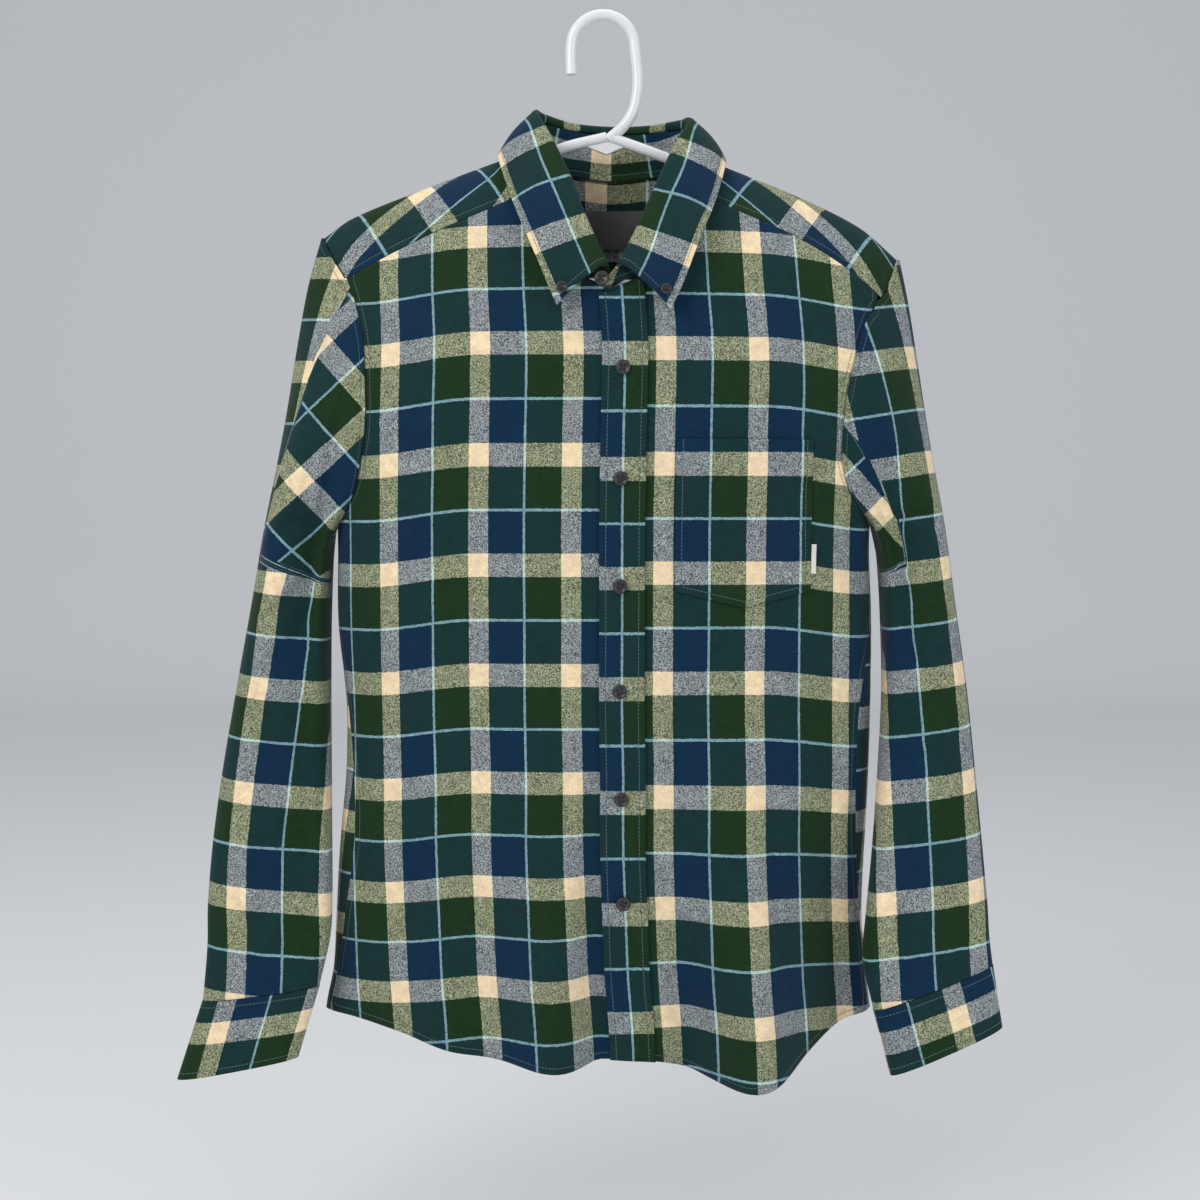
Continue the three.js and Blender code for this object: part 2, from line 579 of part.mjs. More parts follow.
// The yoke: from the back seam up to the ridge or the back of the neck, and over the shoulders to the front
const YOKE_BACK_ROWS = 5;
const YOKE_FRONT_ROWS = 4;
const YOKE_BACK_SPACING = 1.9; // closer rows near the ridge
const YOKE_FRONT_SPACING = 1.6;
const SHOULDER_TIP = { right: -221, left: 233 };

function armholeX(side, drop) {
  const face = drop < 0 ? 'front' : 'back';
  let x = SHOULDER_TIP[side];
  for (let k = 0; k < 24; k += 1) x = read(ARMHOLE[side], 'z', ridgeZ(x) - Math.abs(drop), face);
  return x;
}

function yokePanel() {
  const behindNeck = NECK.filter((row) => Math.abs(row.turn) < 0.43);
  const right = spread(SHOULDER_TIP.right, NECK_SIDE.right, 8);
  const middleXs = spread(0, 1, 8).slice(1, -1)
    .map((t) => mix(NECK_SIDE.right, NECK_SIDE.left, 0.5 - 0.5 * Math.cos(Math.PI * t)));
  const left = spread(NECK_SIDE.left, SHOULDER_TIP.left, 8);
  const ridgeXs = [...right, ...middleXs, ...left];
  const place = (ridgeX, drop) => {
    const side = ridgeX < 0 ? 'right' : 'left';
    const beside = ridgeX <= NECK_SIDE.right || ridgeX >= NECK_SIDE.left;
    if (!beside) return shoulderPoint(ridgeX, drop);
    const share = (ridgeX - NECK_SIDE[side]) / (SHOULDER_TIP[side] - NECK_SIDE[side]);
    const edge = armholeX(side, drop) - SIDES[side].sign * SEAM / 2;
    return shoulderPoint(mix(NECK_SIDE[side], edge, share), drop);
  };
  const middle = ridgeXs.map((ridgeX) => {
    const inNeck = ridgeX > NECK_SIDE.right && ridgeX < NECK_SIDE.left;
    const topDrop = inNeck ? read(behindNeck, 'x', ridgeX, 'drop') : 0;
    const line = [];
    for (let k = YOKE_BACK_ROWS; k >= 0; k -= 1) {
      const share = (k / YOKE_BACK_ROWS) ** YOKE_BACK_SPACING;
      const x = place(ridgeX, mix(topDrop, 60, share)).x;
      const backDrop = ridgeZ(x) - YOKE_BACK_SEAM - SLOPING_SEAM / 2;
      line.push(place(ridgeX, mix(topDrop, backDrop, share)));
    }
    for (let k = 1; k <= YOKE_FRONT_ROWS; k += 1) {
      const share = (k / YOKE_FRONT_ROWS) ** YOKE_FRONT_SPACING;
      const x = place(ridgeX, -40 * share).x;
      line.push(place(ridgeX, -(read(RIDGE, 'x', x, 'seamDrop') - SLOPING_SEAM / 2) * share));
    }
    return line;
  });
  const byRoot = (x, root) => shoulderPoint(x, Math.sign(root) * root * root);
  const normals = middle.map((line, i) => line.map((p, j) => {
    const drop = (j > YOKE_BACK_ROWS ? -1 : 1) * Math.max(0, ridgeZ(p.x) - p.z);
    return normalOf(byRoot, p.x, Math.sign(drop) * Math.sqrt(Math.abs(drop)), 1, 0.3).negate();
  }));
  const keep = (i, j) => j < YOKE_BACK_ROWS || i < 8 || i >= 8 + 8;
  return { middle, normals, keep };
}

const yoke = yokePanel();
add('yoke', wall(yoke.middle, yoke.normals, CLOTH, { keep: yoke.keep }), MATERIALS.flannel);

// The armhole as one loop of points with the body's normals: up the front, over the yoke and down the back
function armholeLoop(side) {
  const first = side === 'right';
  const front = fronts[side];
  const underarmRow = SIDE_LEVELS.length - 1;
  const loop = [];
  const take = (panel, column, row) =>
    loop.push({ point: panel.middle[column][row], normal: panel.normals[column][row] });
  const frontColumn = front.middle.length - 1;
  const topRow = front.middle[0].length - 1;
  for (let row = underarmRow; row < topRow; row += 1) take(front, frontColumn, row);
  const yokeColumn = first ? 0 : yoke.middle.length - 1;
  const yokeRows = YOKE_BACK_ROWS + YOKE_FRONT_ROWS;
  for (let row = yokeRows; row >= 1; row -= 1) {
    take(yoke, yokeColumn, row);
    if (row === YOKE_BACK_ROWS) loop.tip = loop.length - 1;
  }
  const backColumn = first ? 0 : back.middle.length - 1;
  for (let row = back.middle[0].length - 1; row > underarmRow; row -= 1) take(back, backColumn, row);
  return loop;
}

// The armhole seen as a sleeve section: share of the chord from the underarm to the tip, offset and angle
function loopShape(side, seats) {
  const row = SLEEVE[side][0];
  const chord = { x: row.ox - row.ix, z: row.oz - row.iz };
  const length = Math.hypot(chord.x, chord.z);
  const lengths = [0];
  for (let k = 1; k <= seats.length; k += 1) {
    lengths.push(lengths[k - 1] + seats[k % seats.length].distanceTo(seats[k - 1]));
  }
  const tip = seats.tip;
  return seats.map((p, k) => {
    const x = p.x - row.ix;
    const z = p.z - row.iz;
    const front = k <= tip;
    const angle = front
      ? (Math.PI * lengths[k]) / lengths[tip]
      : Math.PI + (Math.PI * (lengths[k] - lengths[tip])) / (lengths[seats.length] - lengths[tip]);
    return {
      share: (x * chord.x + z * chord.z) / length ** 2,
      off: (x * -chord.z + z * chord.x) / length,
      y: p.y,
      angle,
    };
  });
}

const SLEEVE_STEPS = 20;
const MIDDLE_RING = 8;
const TROUGH_ANGLE = 0.36 * Math.PI;
const TROUGH_WIDTH = 0.45;

function ovalPoint(row, angle) {
  const exponent = 2 / SECTION_POWER;
  const share = 0.5 - 0.5 * Math.sign(Math.cos(angle)) * Math.abs(Math.cos(angle)) ** exponent;
  const out = Math.abs(Math.sin(angle)) ** exponent;
  const trough = (row.trough || 0) * Math.exp(-(((angle - TROUGH_ANGLE) / TROUGH_WIDTH) ** 2));
  const y = angle < Math.PI ? row.mid - row.front * out + trough : row.mid + row.back * out;
  return { share, y };
}

function sleevePanel(side) {
  const loop = armholeLoop(side);
  const count = loop.length;
  const centre = vec(0, 0, -500);
  const seats = loop.map(({ point, normal }, k) => {
    const along = loop[(k + 1) % count].point.clone().sub(loop[(k + count - 1) % count].point);
    const away = along.cross(normal).normalize();
    if (away.dot(point.clone().sub(centre)) < 0) away.negate();
    return point.clone().addScaledVector(normal.clone().add(away).normalize(), CLOTH + 5 * SEAM);
  });
  seats.tip = loop.tip;
  const shape = loopShape(side, seats);
  const table = SLEEVE[side].map((row, k) => ({ ...row, station: k }));
  const stations = spread(0, table.length - 1, SLEEVE_STEPS);
  const rowAt = (station) => Object.fromEntries(
    ['ox', 'oz', 'ix', 'iz', 'mid', 'front', 'back', 'armhole', 'trough']
      .map((column) => [column, read(table, 'station', station, column)]));
  const middle = shape.map((own, k) => stations.map((station) => {
    if (station === 0) return seats[k];
    const row = rowAt(station);
    const oval = ovalPoint(row, own.angle);
    const share = mix(oval.share, own.share, row.armhole);
    const y = mix(oval.y, own.y, row.armhole);
    const chord = { x: row.ox - row.ix, z: row.oz - row.iz };
    const length = Math.hypot(chord.x, chord.z);
    const off = own.off * row.armhole;
    return vec(
      row.ix + chord.x * share - (chord.z / length) * off,
      y,
      row.iz + chord.z * share + (chord.x / length) * off,
    );
  }));
  const normals = facingOut(middle, gridNormals(middle, true), MIDDLE_RING);
  // The sleeve grows out of the body, so its first normals lean halfway to the body's
  normals.forEach((line, k) => line[0].add(loop[k].normal).normalize());
  return { middle, normals };
}

const sleeves = { right: sleevePanel('right'), left: sleevePanel('left') };
for (const side of ['right', 'left']) {
  const { middle, normals } = sleeves[side];
  add(`sleeve_${side}`, wall(middle, normals, CLOTH, { wrap: true }), MATERIALS.flannel);
}

// The cuffs, closed bands that carry on from the sleeves
const CUFF_COLUMNS = 22;

function cuffPanel(side) {
  const top = SLEEVE[side].at(-1);
  const end = CUFF[side];
  const down = vec(
    end.ox + end.ix - top.ox - top.ix,
    2 * (end.mid - top.mid),
    end.oz + end.iz - top.oz - top.iz,
  );
  const start = down.normalize().multiplyScalar((DOUBLE - CLOTH) / 2 + SEAM);
  const angles = spread(0, 2 * Math.PI, CUFF_COLUMNS).slice(0, -1);
  return angles.map((angle) => spread(0, 1, 3).map((t) => {
    const row = Object.fromEntries(['ox', 'oz', 'ix', 'iz', 'mid', 'front', 'back']
      .map((column) => [column, mix(top[column], end[column], t)]));
    const { share, y } = ovalPoint(row, angle);
    const p = vec(mix(row.ix, row.ox, share), y, mix(row.iz, row.oz, share));
    return p.addScaledVector(start, 1 - t);
  }));
}

function facingOut(middle, normals, row) {
  const heart = middle.reduce((sum, line) => sum.add(line[row]), vec(0, 0, 0)).divideScalar(middle.length);
  const total = middle.reduce((sum, line, k) => sum + normals[k][row].dot(line[row].clone().sub(heart)), 0);
  if (total < 0) normals.forEach((line) => line.forEach((n) => n.negate()));
  return normals;
}

const cuffs = {};
for (const side of ['right', 'left']) {
  const middle = cuffPanel(side);
  const normals = facingOut(middle, gridNormals(middle, true), 1);
  cuffs[side] = { middle, normals };
  add(`cuff_${side}`, wall(middle, normals, DOUBLE, { wrap: true }), MATERIALS.flannel);
}

// The button stand, in line with the fronts, and the placket laid over it
const STRIP_ROWS = 22;

function strip(from, to, columns, lift, topGap) {
  const across = spread(from, to, columns);
  const top = (u) => frontTopAt('left', Math.max(6, bodyPoint('front', u, -215).x)) - topGap;
  const levels = (u) => spread(read(FRONT_HEM, 'u', u, 'z'), top(u), STRIP_ROWS);
  const normals = across.map((u) => levels(u).map((z) => bodyNormal('front', u, z)));
  const middle = across.map((u, i) =>
    levels(u).map((z, j) => bodyPoint('front', u, z).addScaledVector(normals[i][j], lift)));
  return { middle, normals };
}

const onCloth = (thickness) => CLOTH / 2 + SEAM + thickness / 2;
const stand = strip(BUTTON_STAND_EDGE + SEAM, PLACKET_SEAM - SEAM, 2, 0, SEAM);
add('button_stand', wall(stand.middle, stand.normals, CLOTH), MATERIALS.flannel);
const PLACKET_LAP = 3;
const placket = strip(PLACKET_EDGE, PLACKET_SEAM + PLACKET_LAP, 4, onCloth(DOUBLE) + SEAM, 3.5);
add('placket', wall(placket.middle, placket.normals, DOUBLE), MATERIALS.flannel);

// The pocket, laid on the left front, with a pointed foot
function pocketPanel() {
  const across = spread(POCKET.inner, POCKET.outer, 6);
  const centre = (POCKET.inner + POCKET.outer) / 2;
  const half = (POCKET.outer - POCKET.inner) / 2;
  const foot = (u) => mix(POCKET.point, POCKET.side, Math.abs(u - centre) / half);
  const levels = (u) => spread(foot(u), POCKET.top, 6);
  const normals = across.map((u) => levels(u).map((z) => bodyNormal('front', u, z)));
  const lift = onCloth(CLOTH) + SEAM / 2;
  const middle = across.map((u, i) =>
    levels(u).map((z, j) => bodyPoint('front', u, z).addScaledVector(normals[i][j], lift)));
  return { middle, normals };
}

const pocket = pocketPanel();
add('pocket', wall(pocket.middle, pocket.normals, CLOTH), MATERIALS.flannel);

const flagAcross = spread(POCKET.outer + SEAM, POCKET.outer + SEAM + POCKET_FLAG.width, 1);
const flagLevels = spread(POCKET_FLAG.bottom, POCKET_FLAG.top, 2);
const flagNormals = flagAcross.map((u) => flagLevels.map((z) => bodyNormal('front', u, z)));
const flagLift = onCloth(LABEL) + SEAM / 2;
const flag = flagAcross.map((u, i) =>
  flagLevels.map((z, j) => bodyPoint('front', u, z).addScaledVector(flagNormals[i][j], flagLift)));
add('pocket_flag', wall(flag, flagNormals, LABEL), MATERIALS.flag);

// The neck label and the size tab hang on the inside of the yoke
function labelPanel(size, lift) {
  const across = spread(size.left, size.right, 4);
  const levels = spread(size.bottom, size.top, 2);
  const at = (x, z) => shoulderPoint(x, ridgeZ(x) - z);
  const normals = across.map((x) => levels.map((z) => normalOf(at, x, z, 1, 1).negate()));
  const middle = across.map((x, i) => levels.map((z, j) => at(x, z).addScaledVector(normals[i][j], -lift)));
  return wall(middle, normals, LABEL);
}

add('neck_label', labelPanel(NECK_LABEL, onCloth(LABEL) + SEAM), MATERIALS.label);
add('size_tab', labelPanel(SIZE_TAB, onCloth(LABEL) + LABEL + 2 * SEAM), MATERIALS.label);

// The collar. Each turn has the fold's place, its run, and the directions of the stand and of the fall.
// The stand's two ends pass the centre front, the left one outside with the button's tab
const STAND_ENDS = {
  right: [{ x: 5, y: 1, bottom: 3, top: -2 }, { x: 10, y: 2, bottom: 6, top: -5 }],
  left: [{ x: -5, y: -2.6, bottom: 2, top: -6 }, { x: -11, y: -3.4, bottom: 4, top: -8 }],
};
const STAND_SPLIT = 1.4; // how far the two ends draw apart before they pass

function neckPoint(turn) {
  const byTurn = (column) => read(NECK, 'turn', turn, column);
  const x = byTurn('x');
  const root = Math.sign(byTurn('drop')) * Math.sqrt(Math.abs(byTurn('drop')));
  const byRoot = (a, b) => shoulderPoint(a, Math.sign(b) * b * b);
  const normal = normalOf(byRoot, x, root, 1, 0.3).negate();
  return { point: shoulderPoint(x, byTurn('drop')), normal };
}

function collarFrame(turn) {
  const at = (t) => {
    const value = (column) => read(COLLAR, 'turn', Math.max(-1, Math.min(1, t)), column);
    return {
      fold: vec(value('foldX'), value('foldY'), value('foldZ')),
      edge: vec(value('edgeX'), value('edgeY'), value('edgeZ')),
    };
  };
  const { fold, edge } = at(turn);
  const run = at(turn + 0.03).fold.sub(at(turn - 0.03).fold).normalize();
  const across = (v) => v.addScaledVector(run, -v.dot(run)).normalize();
  const neck = neckPoint(turn);
  const nextNeck = neckPoint(turn + 0.01).point.sub(neckPoint(turn - 0.01).point).normalize();
  const inward = neck.normal.clone().cross(nextNeck).normalize();
  if (inward.dot(fold.clone().sub(neck.point)) < 0) inward.negate();
  const seat = neck.point.clone().addScaledVector(neck.normal, CLOTH / 2 + 6 * SEAM)
    .addScaledVector(inward, DOUBLE / 2 + 3 * SEAM);
  const near = smooth((Math.abs(turn) - 0.85) / 0.15);
  seat.addScaledVector(inward, STAND_SPLIT * near);
  for (const p of [fold, edge, seat]) p.y -= Math.sign(turn) * STAND_SPLIT * near;
  const toStand = across(seat.clone().sub(fold));
  const toFall = across(edge.clone().sub(fold));
  const out = toFall.clone().sub(toStand).normalize();
  return { fold, edge, seat, toStand, toFall, out };
}

const COLLAR_TURNS = spread(-1, 1, 28);
const ROLL = { inner: 1.3, outer: 1.5, seam: 6, shoulder: 2.2 }; // the fold's roll
const LEAF_ROWS = [0.3, 0.55, 0.78, 1]; // shares of the way from the roll to the fall's edge

function collarPanels() {
  const frames = COLLAR_TURNS.map(collarFrame);
  const standLines = frames.map(({ fold, seat, toStand, out }) => {
    const top = fold.clone().addScaledVector(toStand, ROLL.seam + 4 * SEAM).addScaledVector(out, -ROLL.inner);
    return [seat.clone(), seat.clone().lerp(top, 0.5), top];
  });
  const end = (line, { x, y, bottom, top }) => {
    const low = line[0].clone().add(vec(x, y, bottom));
    const high = line[2].clone().add(vec(x, y, top));
    return [low, low.clone().lerp(high, 0.5), high];
  };
  standLines.unshift(...STAND_ENDS.right.map((row) => end(standLines[0], row)).reverse());
  const lastLine = standLines.at(-1);
  standLines.push(...STAND_ENDS.left.map((row) => end(lastLine, row)));
  const fallLines = frames.map(({ fold, edge, toStand, toFall, out }) => {
    const start = fold.clone().addScaledVector(toStand, ROLL.seam).addScaledVector(out, -ROLL.inner);
    const inner = fold.clone().addScaledVector(toStand, ROLL.shoulder).addScaledVector(out, -ROLL.inner);
    const outer = fold.clone().addScaledVector(toFall, ROLL.shoulder).addScaledVector(out, ROLL.inner);
    const below = fold.clone().addScaledVector(toFall, ROLL.seam).addScaledVector(out, ROLL.outer);
    const leaf = LEAF_ROWS.map((t) => below.clone().lerp(edge, t));
    return [start, inner, fold.clone(), outer, below, ...leaf];
  });
  return { standLines, fallLines };
}

const { standLines, fallLines } = collarPanels();
const standNormals = gridNormals(standLines, false);
const fallNormals = gridNormals(fallLines, false);
add('collar_stand', wall(standLines, standNormals, DOUBLE), MATERIALS.flannel);
add('collar_fall', wall(fallLines, fallNormals, DOUBLE), MATERIALS.flannel);

// Buttons: a turned disc with a raised rim, seated on the cloth along its normal
function button(name, seat, normal, radius) {
  const rim = BUTTON_THICKNESS;
  const dish = 0.7 * BUTTON_THICKNESS;
  const profile = [[0, 0], [0.8 * radius, 0], [radius, 0.4 * rim], [0.94 * radius, rim], [0.72 * radius, rim],
    [0.6 * radius, dish], [0, dish]].map(([r, h]) => new THREE.Vector2(r, h));
  const disc = mergeVertices(stripped(new THREE.LatheGeometry(profile, 10)), 1e-4);
  const mesh = add(name, disc, MATERIALS.button);
  mesh.quaternion.setFromUnitVectors(vec(0, 1, 0), normal);
  mesh.position.copy(seat).addScaledVector(normal, SEAM);
}

function stripped(geometry) {
  geometry.deleteAttribute('normal');
  geometry.deleteAttribute('uv');
  return geometry;
}

FRONT_BUTTONS.forEach((z, k) => {
  const normal = bodyNormal('front', 0, z);
  const seat = bodyPoint('front', 0, z).addScaledVector(normal, onCloth(DOUBLE) + SEAM + DOUBLE / 2);
  button(`button_${k + 1}`, seat, normal, BUTTON_RADIUS);
});

// The nearest point of a sheet to a place seen from the front, and the normal towards the viewer
function seatOn(lines, normals, x, z, thickness) {
  let best = { distance: Infinity };
  const steps = 8;
  for (let i = 0; i < lines.length - 1; i += 1) {
    for (let j = 0; j < lines[0].length - 1; j += 1) {
      for (let k = 0; k <= steps ** 2; k += 1) {
        const a = (k % steps) / steps;
        const b = Math.floor(k / steps) / steps;
        const blend = (grid) => grid[i][j].clone().lerp(grid[i + 1][j], a)
          .lerp(grid[i][j + 1].clone().lerp(grid[i + 1][j + 1], a), b);
        const point = blend(lines);
        const distance = Math.hypot(point.x - x, point.z - z);
        if (distance >= best.distance || point.y > 0) continue;
        best = { distance, point, normal: blend(normals).normalize() };
      }
    }
  }
  if (best.normal.y > 0) best.normal.negate();
  return { normal: best.normal, seat: best.point.addScaledVector(best.normal, thickness / 2 + SEAM / 2) };
}

for (const [side, { x, z }] of Object.entries(POINT_BUTTONS)) {
  const { seat, normal } = seatOn(fallLines, fallNormals, x, z, DOUBLE);
  button(`button_point_${side}`, seat, normal, SMALL_BUTTON_RADIUS);
}

// The button of the collar stand, on the end that laps over, stands off on its thread
const SHANK = 1.2;
const lap = standLines.at(-1);
const lapNormal = vec(-0.1, -1, 0.05).normalize();
button('button_stand_top', lap[1].clone().lerp(standLines.at(-2)[1], 0.5)
  .addScaledVector(lapNormal, DOUBLE / 2 + SHANK), lapNormal, BUTTON_RADIUS);

// One button on the back of each cuff
for (const side of ['right', 'left']) {
  const { middle, normals } = cuffs[side];
  const column = Math.round(CUFF_COLUMNS * 0.7);
  const seat = middle[column][1].clone().lerp(middle[column][2], 0.5);
  button(`button_cuff_${side}`, seat.addScaledVector(normals[column][1], DOUBLE / 2 + SEAM / 2),
    normals[column][1], BUTTON_RADIUS);
}

// The hanger: a hook, two arms that follow the shoulders, a bottom bar and a web under the hook
const wasm = await Module();
wasm.setup();

function solid(geometry) {
  const merged = mergeVertices(stripped(geometry), 1e-4);
  return new wasm.Manifold(new wasm.Mesh({
    numProp: 3,
    vertProperties: Float32Array.from(merged.attributes.position.array),
    triVerts: Uint32Array.from(merged.index.array),
  }));
}

function tube(points, steps) {
  const circle = new THREE.Shape().absarc(0, 0, HANGER_TUBE, 0, 2 * Math.PI);
  const path = new THREE.CatmullRomCurve3(points.map(([x, z]) => vec(x, 0, z)), false, 'centripetal');
  const run = { steps, extrudePath: path, curveSegments: 4, bevelEnabled: false };
  return solid(new THREE.ExtrudeGeometry(circle, run));
}

const HOOK = { radius: 25, tip: -42, leg: -66 };
const hookTop = HANGER_TUBE - HOOK.radius;
const hookArc = spread(Math.PI, 0, 8)
  .map((a) => [HOOK.radius * Math.cos(a), hookTop + HOOK.radius * Math.sin(a)]);
const hook = tube([[-HOOK.radius, HOOK.tip], ...hookArc, [HOOK.radius, HOOK.leg], [18, -80], [4, -93]], 26);
// The arms run below the ridge of the cloth, a little lower beside the neck
const RIGHT_ARM = [
  { x: -70, drop: 12.2 },
  { x: -100, drop: 8.8 },
  { x: -140, drop: 7.8 },
  { x: -172, drop: 7.8 },
  { x: -196, drop: 8.2 },
];
const LEFT_ARM = [
  { x: 206, drop: 9.4 },
  { x: 178, drop: 8 },
  { x: 145, drop: 7.8 },
  { x: 108, drop: 8.8 },
  { x: 80, drop: 11.5 },
];
const under = ({ x, drop }) => [x, ridgeZ(x) - drop];
const BAR = { right: -196, left: -212 };
const frame = [[3, -91], [-36, -101], ...RIGHT_ARM.map(under), [-207, -174], [-208, -186], [-198, BAR.right],
  [-150, BAR.right - 3], [0, -206], [150, BAR.left + 1], [206, BAR.left - 1], [218, -201], [218, -188],
  ...LEFT_ARM.map(under), [50, -107], [5, -91]];
const WEB = { outline: [[-17, -97], [0, -88], [21, -97], [3, -105]], depth: 4 };
const webShape = new THREE.Shape(WEB.outline.map(([x, z]) => new THREE.Vector2(x, z)));
const web = new THREE.ExtrudeGeometry(webShape, { depth: WEB.depth, bevelEnabled: false });
web.translate(0, 0, -WEB.depth / 2);
web.rotateX(Math.PI / 2);
const joined = tube(frame, 60).add(hook).add(solid(web)).getMesh();
const hanger = new THREE.BufferGeometry();
hanger.setAttribute('position', new THREE.Float32BufferAttribute(joined.vertProperties, 3));
hanger.setIndex([...joined.triVerts]);
add('hanger', hanger, MATERIALS.hanger);

export default shirt;
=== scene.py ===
import math

import bmesh
import bpy
import numpy as np
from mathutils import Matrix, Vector


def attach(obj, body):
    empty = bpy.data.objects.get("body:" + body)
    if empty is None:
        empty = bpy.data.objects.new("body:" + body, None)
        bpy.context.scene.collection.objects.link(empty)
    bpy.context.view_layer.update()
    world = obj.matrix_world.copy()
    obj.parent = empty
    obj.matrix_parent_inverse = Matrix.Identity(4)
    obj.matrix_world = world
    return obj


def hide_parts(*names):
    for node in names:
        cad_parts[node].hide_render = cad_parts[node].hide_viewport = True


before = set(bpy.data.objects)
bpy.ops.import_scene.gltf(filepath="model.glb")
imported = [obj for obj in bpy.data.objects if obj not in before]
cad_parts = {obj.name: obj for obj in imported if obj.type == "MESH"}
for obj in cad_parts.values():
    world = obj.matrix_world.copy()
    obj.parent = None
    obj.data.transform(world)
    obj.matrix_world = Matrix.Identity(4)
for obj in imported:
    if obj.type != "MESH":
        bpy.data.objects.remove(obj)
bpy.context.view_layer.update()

# Flannel shirt on a hanger. Sizes are in millimetres until a mesh is made. The shirt faces -Y.
mm = 0.001


def table(columns, rows):
    names = columns.split()
    return {name: np.array([row[k] for row in rows], float) for k, name in enumerate(names)}


# the shape the shirt hangs in: level sections of the body from the hem up
body = table("z right left front back mid centre seamRight seamLeft", [
    (-860, -229, 222, 46, 66, 10, 24, -225, 218),
    (-790, -225, 217, 48, 66, 9, 21, -220, 214),
    (-753, -218, 212, 50, 65, 8, 18, -213, 210),
    (-703, -215, 209, 53, 64, 7, 16, -205, 205),
    (-645, -211, 211, 57, 63, 6, 14, -197, 201),
    (-595, -206, 213, 60, 62, 5, 14, -197, 200),
    (-540, -205, 214, 62, 60, 4, 13, -202, 202),
    (-474, -211, 214, 64, 58, 3, 13, -210, 212),
    (-399, -211, 212, 66, 56, 2, 13, -211, 212),
    (-330, -216, 222, 66, 54, 1, 14, -216, 222),
    (-260, -222, 232, 64, 52, 0, 15, -222, 232),
    (-207, -228, 240, 62, 50, 0, 12, -228, 240),
    (-70, -236, 250, 60, 50, 0, 8, -236, 250),
])
# the shoulder ridge over the hanger, and how far below it the yoke's front seam runs
ridge = table("x z seamDrop", [
    (-245, -186, 52), (-221, -171, 50), (-200, -156, 49), (-145, -133.5, 43), (-80, -109.5, 39),
    (6, -79, 37), (97, -115, 35), (156, -139, 37), (204, -163, 44), (233, -188, 46), (255, -206, 46),
])
# the neckline, by the turn round the neck: the drop below the ridge is minus in front
neck = table("turn x drop", [
    (-1, 6, -138), (-0.9, -12, -127), (-0.8, -30, -108), (-0.7, -46, -84), (-0.6, -58, -58),
    (-0.52, -66, -37), (-0.42, -66, 0), (-0.3, -56, 13), (-0.15, -30, 31), (0, 6, 43), (0.15, 42, 31),
    (0.3, 68, 13), (0.42, 78, 0), (0.52, 78, -37), (0.6, 70, -58), (0.7, 58, -84), (0.8, 42, -108),
    (0.9, 24, -127), (1, 6, -138),
])
neckBack = {name: column[6:13] for name, column in neck.items()}
neckFront = {
    "right": {name: column[5::-1] for name, column in neck.items()},
    "left": {name: column[:12:-1] for name, column in neck.items()},
}
armhole = {
    "right": table("z front back", [
        (-399, -211, -211), (-385, -201, -209.5), (-368, -193, -206), (-342, -187, -203),
        (-318, -184, -201), (-287, -184, -201), (-254, -186, -203), (-228, -192, -206),
        (-207, -199.5, -210), (-190, -210, -215), (-171, -221, -221),
    ]),
    "left": table("z front back", [
        (-394, 212, 212), (-380, 198, 209), (-364, 189, 206), (-342, 185, 205), (-316, 186, 206),
        (-288, 190, 208), (-262, 197, 212), (-236, 206, 218), (-209, 224, 227), (-188, 233, 233),
    ]),
}
# the shirt-tail hem, by the distance along the cloth from the centre
hem = {
    "front": table("u z", [
        (-250, -787), (-220, -789), (-180, -799), (-140, -811), (-100, -817), (-55, -823), (-20, -818),
        (0, -819), (25, -821), (60, -830), (90, -835), (115, -830), (140, -812), (170, -794),
        (210, -787), (250, -787),
    ]),
    "back": table("u z", [(0, -838), (80, -836), (140, -826), (190, -805), (230, -789), (270, -787)]),
}
# large folds that grow towards the hem: place, half width, depth, levels, and how far they lean
folds = {
    "front": [
        (92, 36, 42, -500, -835, 8), (-58, 34, 26, -520, -825, -6), (-24, 11, -9, -480, -820, -4),
        (-150, 26, 8, -600, -812, 6), (42, 14, -8, -600, -825, 4), (178, 20, -7, -600, -800, 0),
    ],
    "back": [
        (-110, 34, 20, -480, -835, -8), (-30, 26, -12, -400, -838, 0), (48, 30, 16, -450, -838, 8),
        (130, 28, 12, -560, -830, 6),
    ],
}
foldLimit = {"front": 198, "back": 240}
foldFade = 30
# soft creases of the body: from and to as distance along the cloth and level, half width, depth
creases = {
    "front": [
        (-176, -330, -120, -372, 9, -2.6), (-186, -372, -118, -402, 7, 1.8), (-184, -410, -110, -452, 8, -2.2),
        (-92, -250, -150, -330, 12, 1.8), (-60, -300, -66, -470, 13, 1.6), (-120, -470, -96, -640, 12, -2.4),
        (-170, -500, -158, -700, 10, 2.0), (-84, -560, -76, -800, 8, -2.6), (-34, -560, -40, -790, 7, 2.0),
        (188, -330, 128, -378, 9, -2.6), (190, -386, 122, -420, 8, 2.0), (196, -430, 150, -500, 8, -1.8),
        (100, -250, 150, -318, 11, 1.8), (60, -480, 66, -620, 10, -2.0), (128, -480, 134, -690, 11, 2.2),
        (170, -560, 160, -740, 9, -2.2), (112, -600, 128, -800, 7, -2.4), (70, -640, 78, -810, 7, 2.0),
        (-196, -700, -150, -770, 8, -2.0), (200, -680, 156, -750, 8, 2.0),
    ],
    "back": [
        (-190, -360, -90, -440, 12, -2.6), (180, -370, 80, -430, 12, 2.4), (-60, -300, -70, -520, 14, 2.0),
        (20, -280, 30, -560, 13, -2.2), (100, -420, 92, -700, 12, -2.4), (-150, -500, -140, -760, 11, 2.2),
        (-6, -560, 2, -800, 9, 2.2), (160, -560, 170, -760, 10, -2.0),
    ],
}
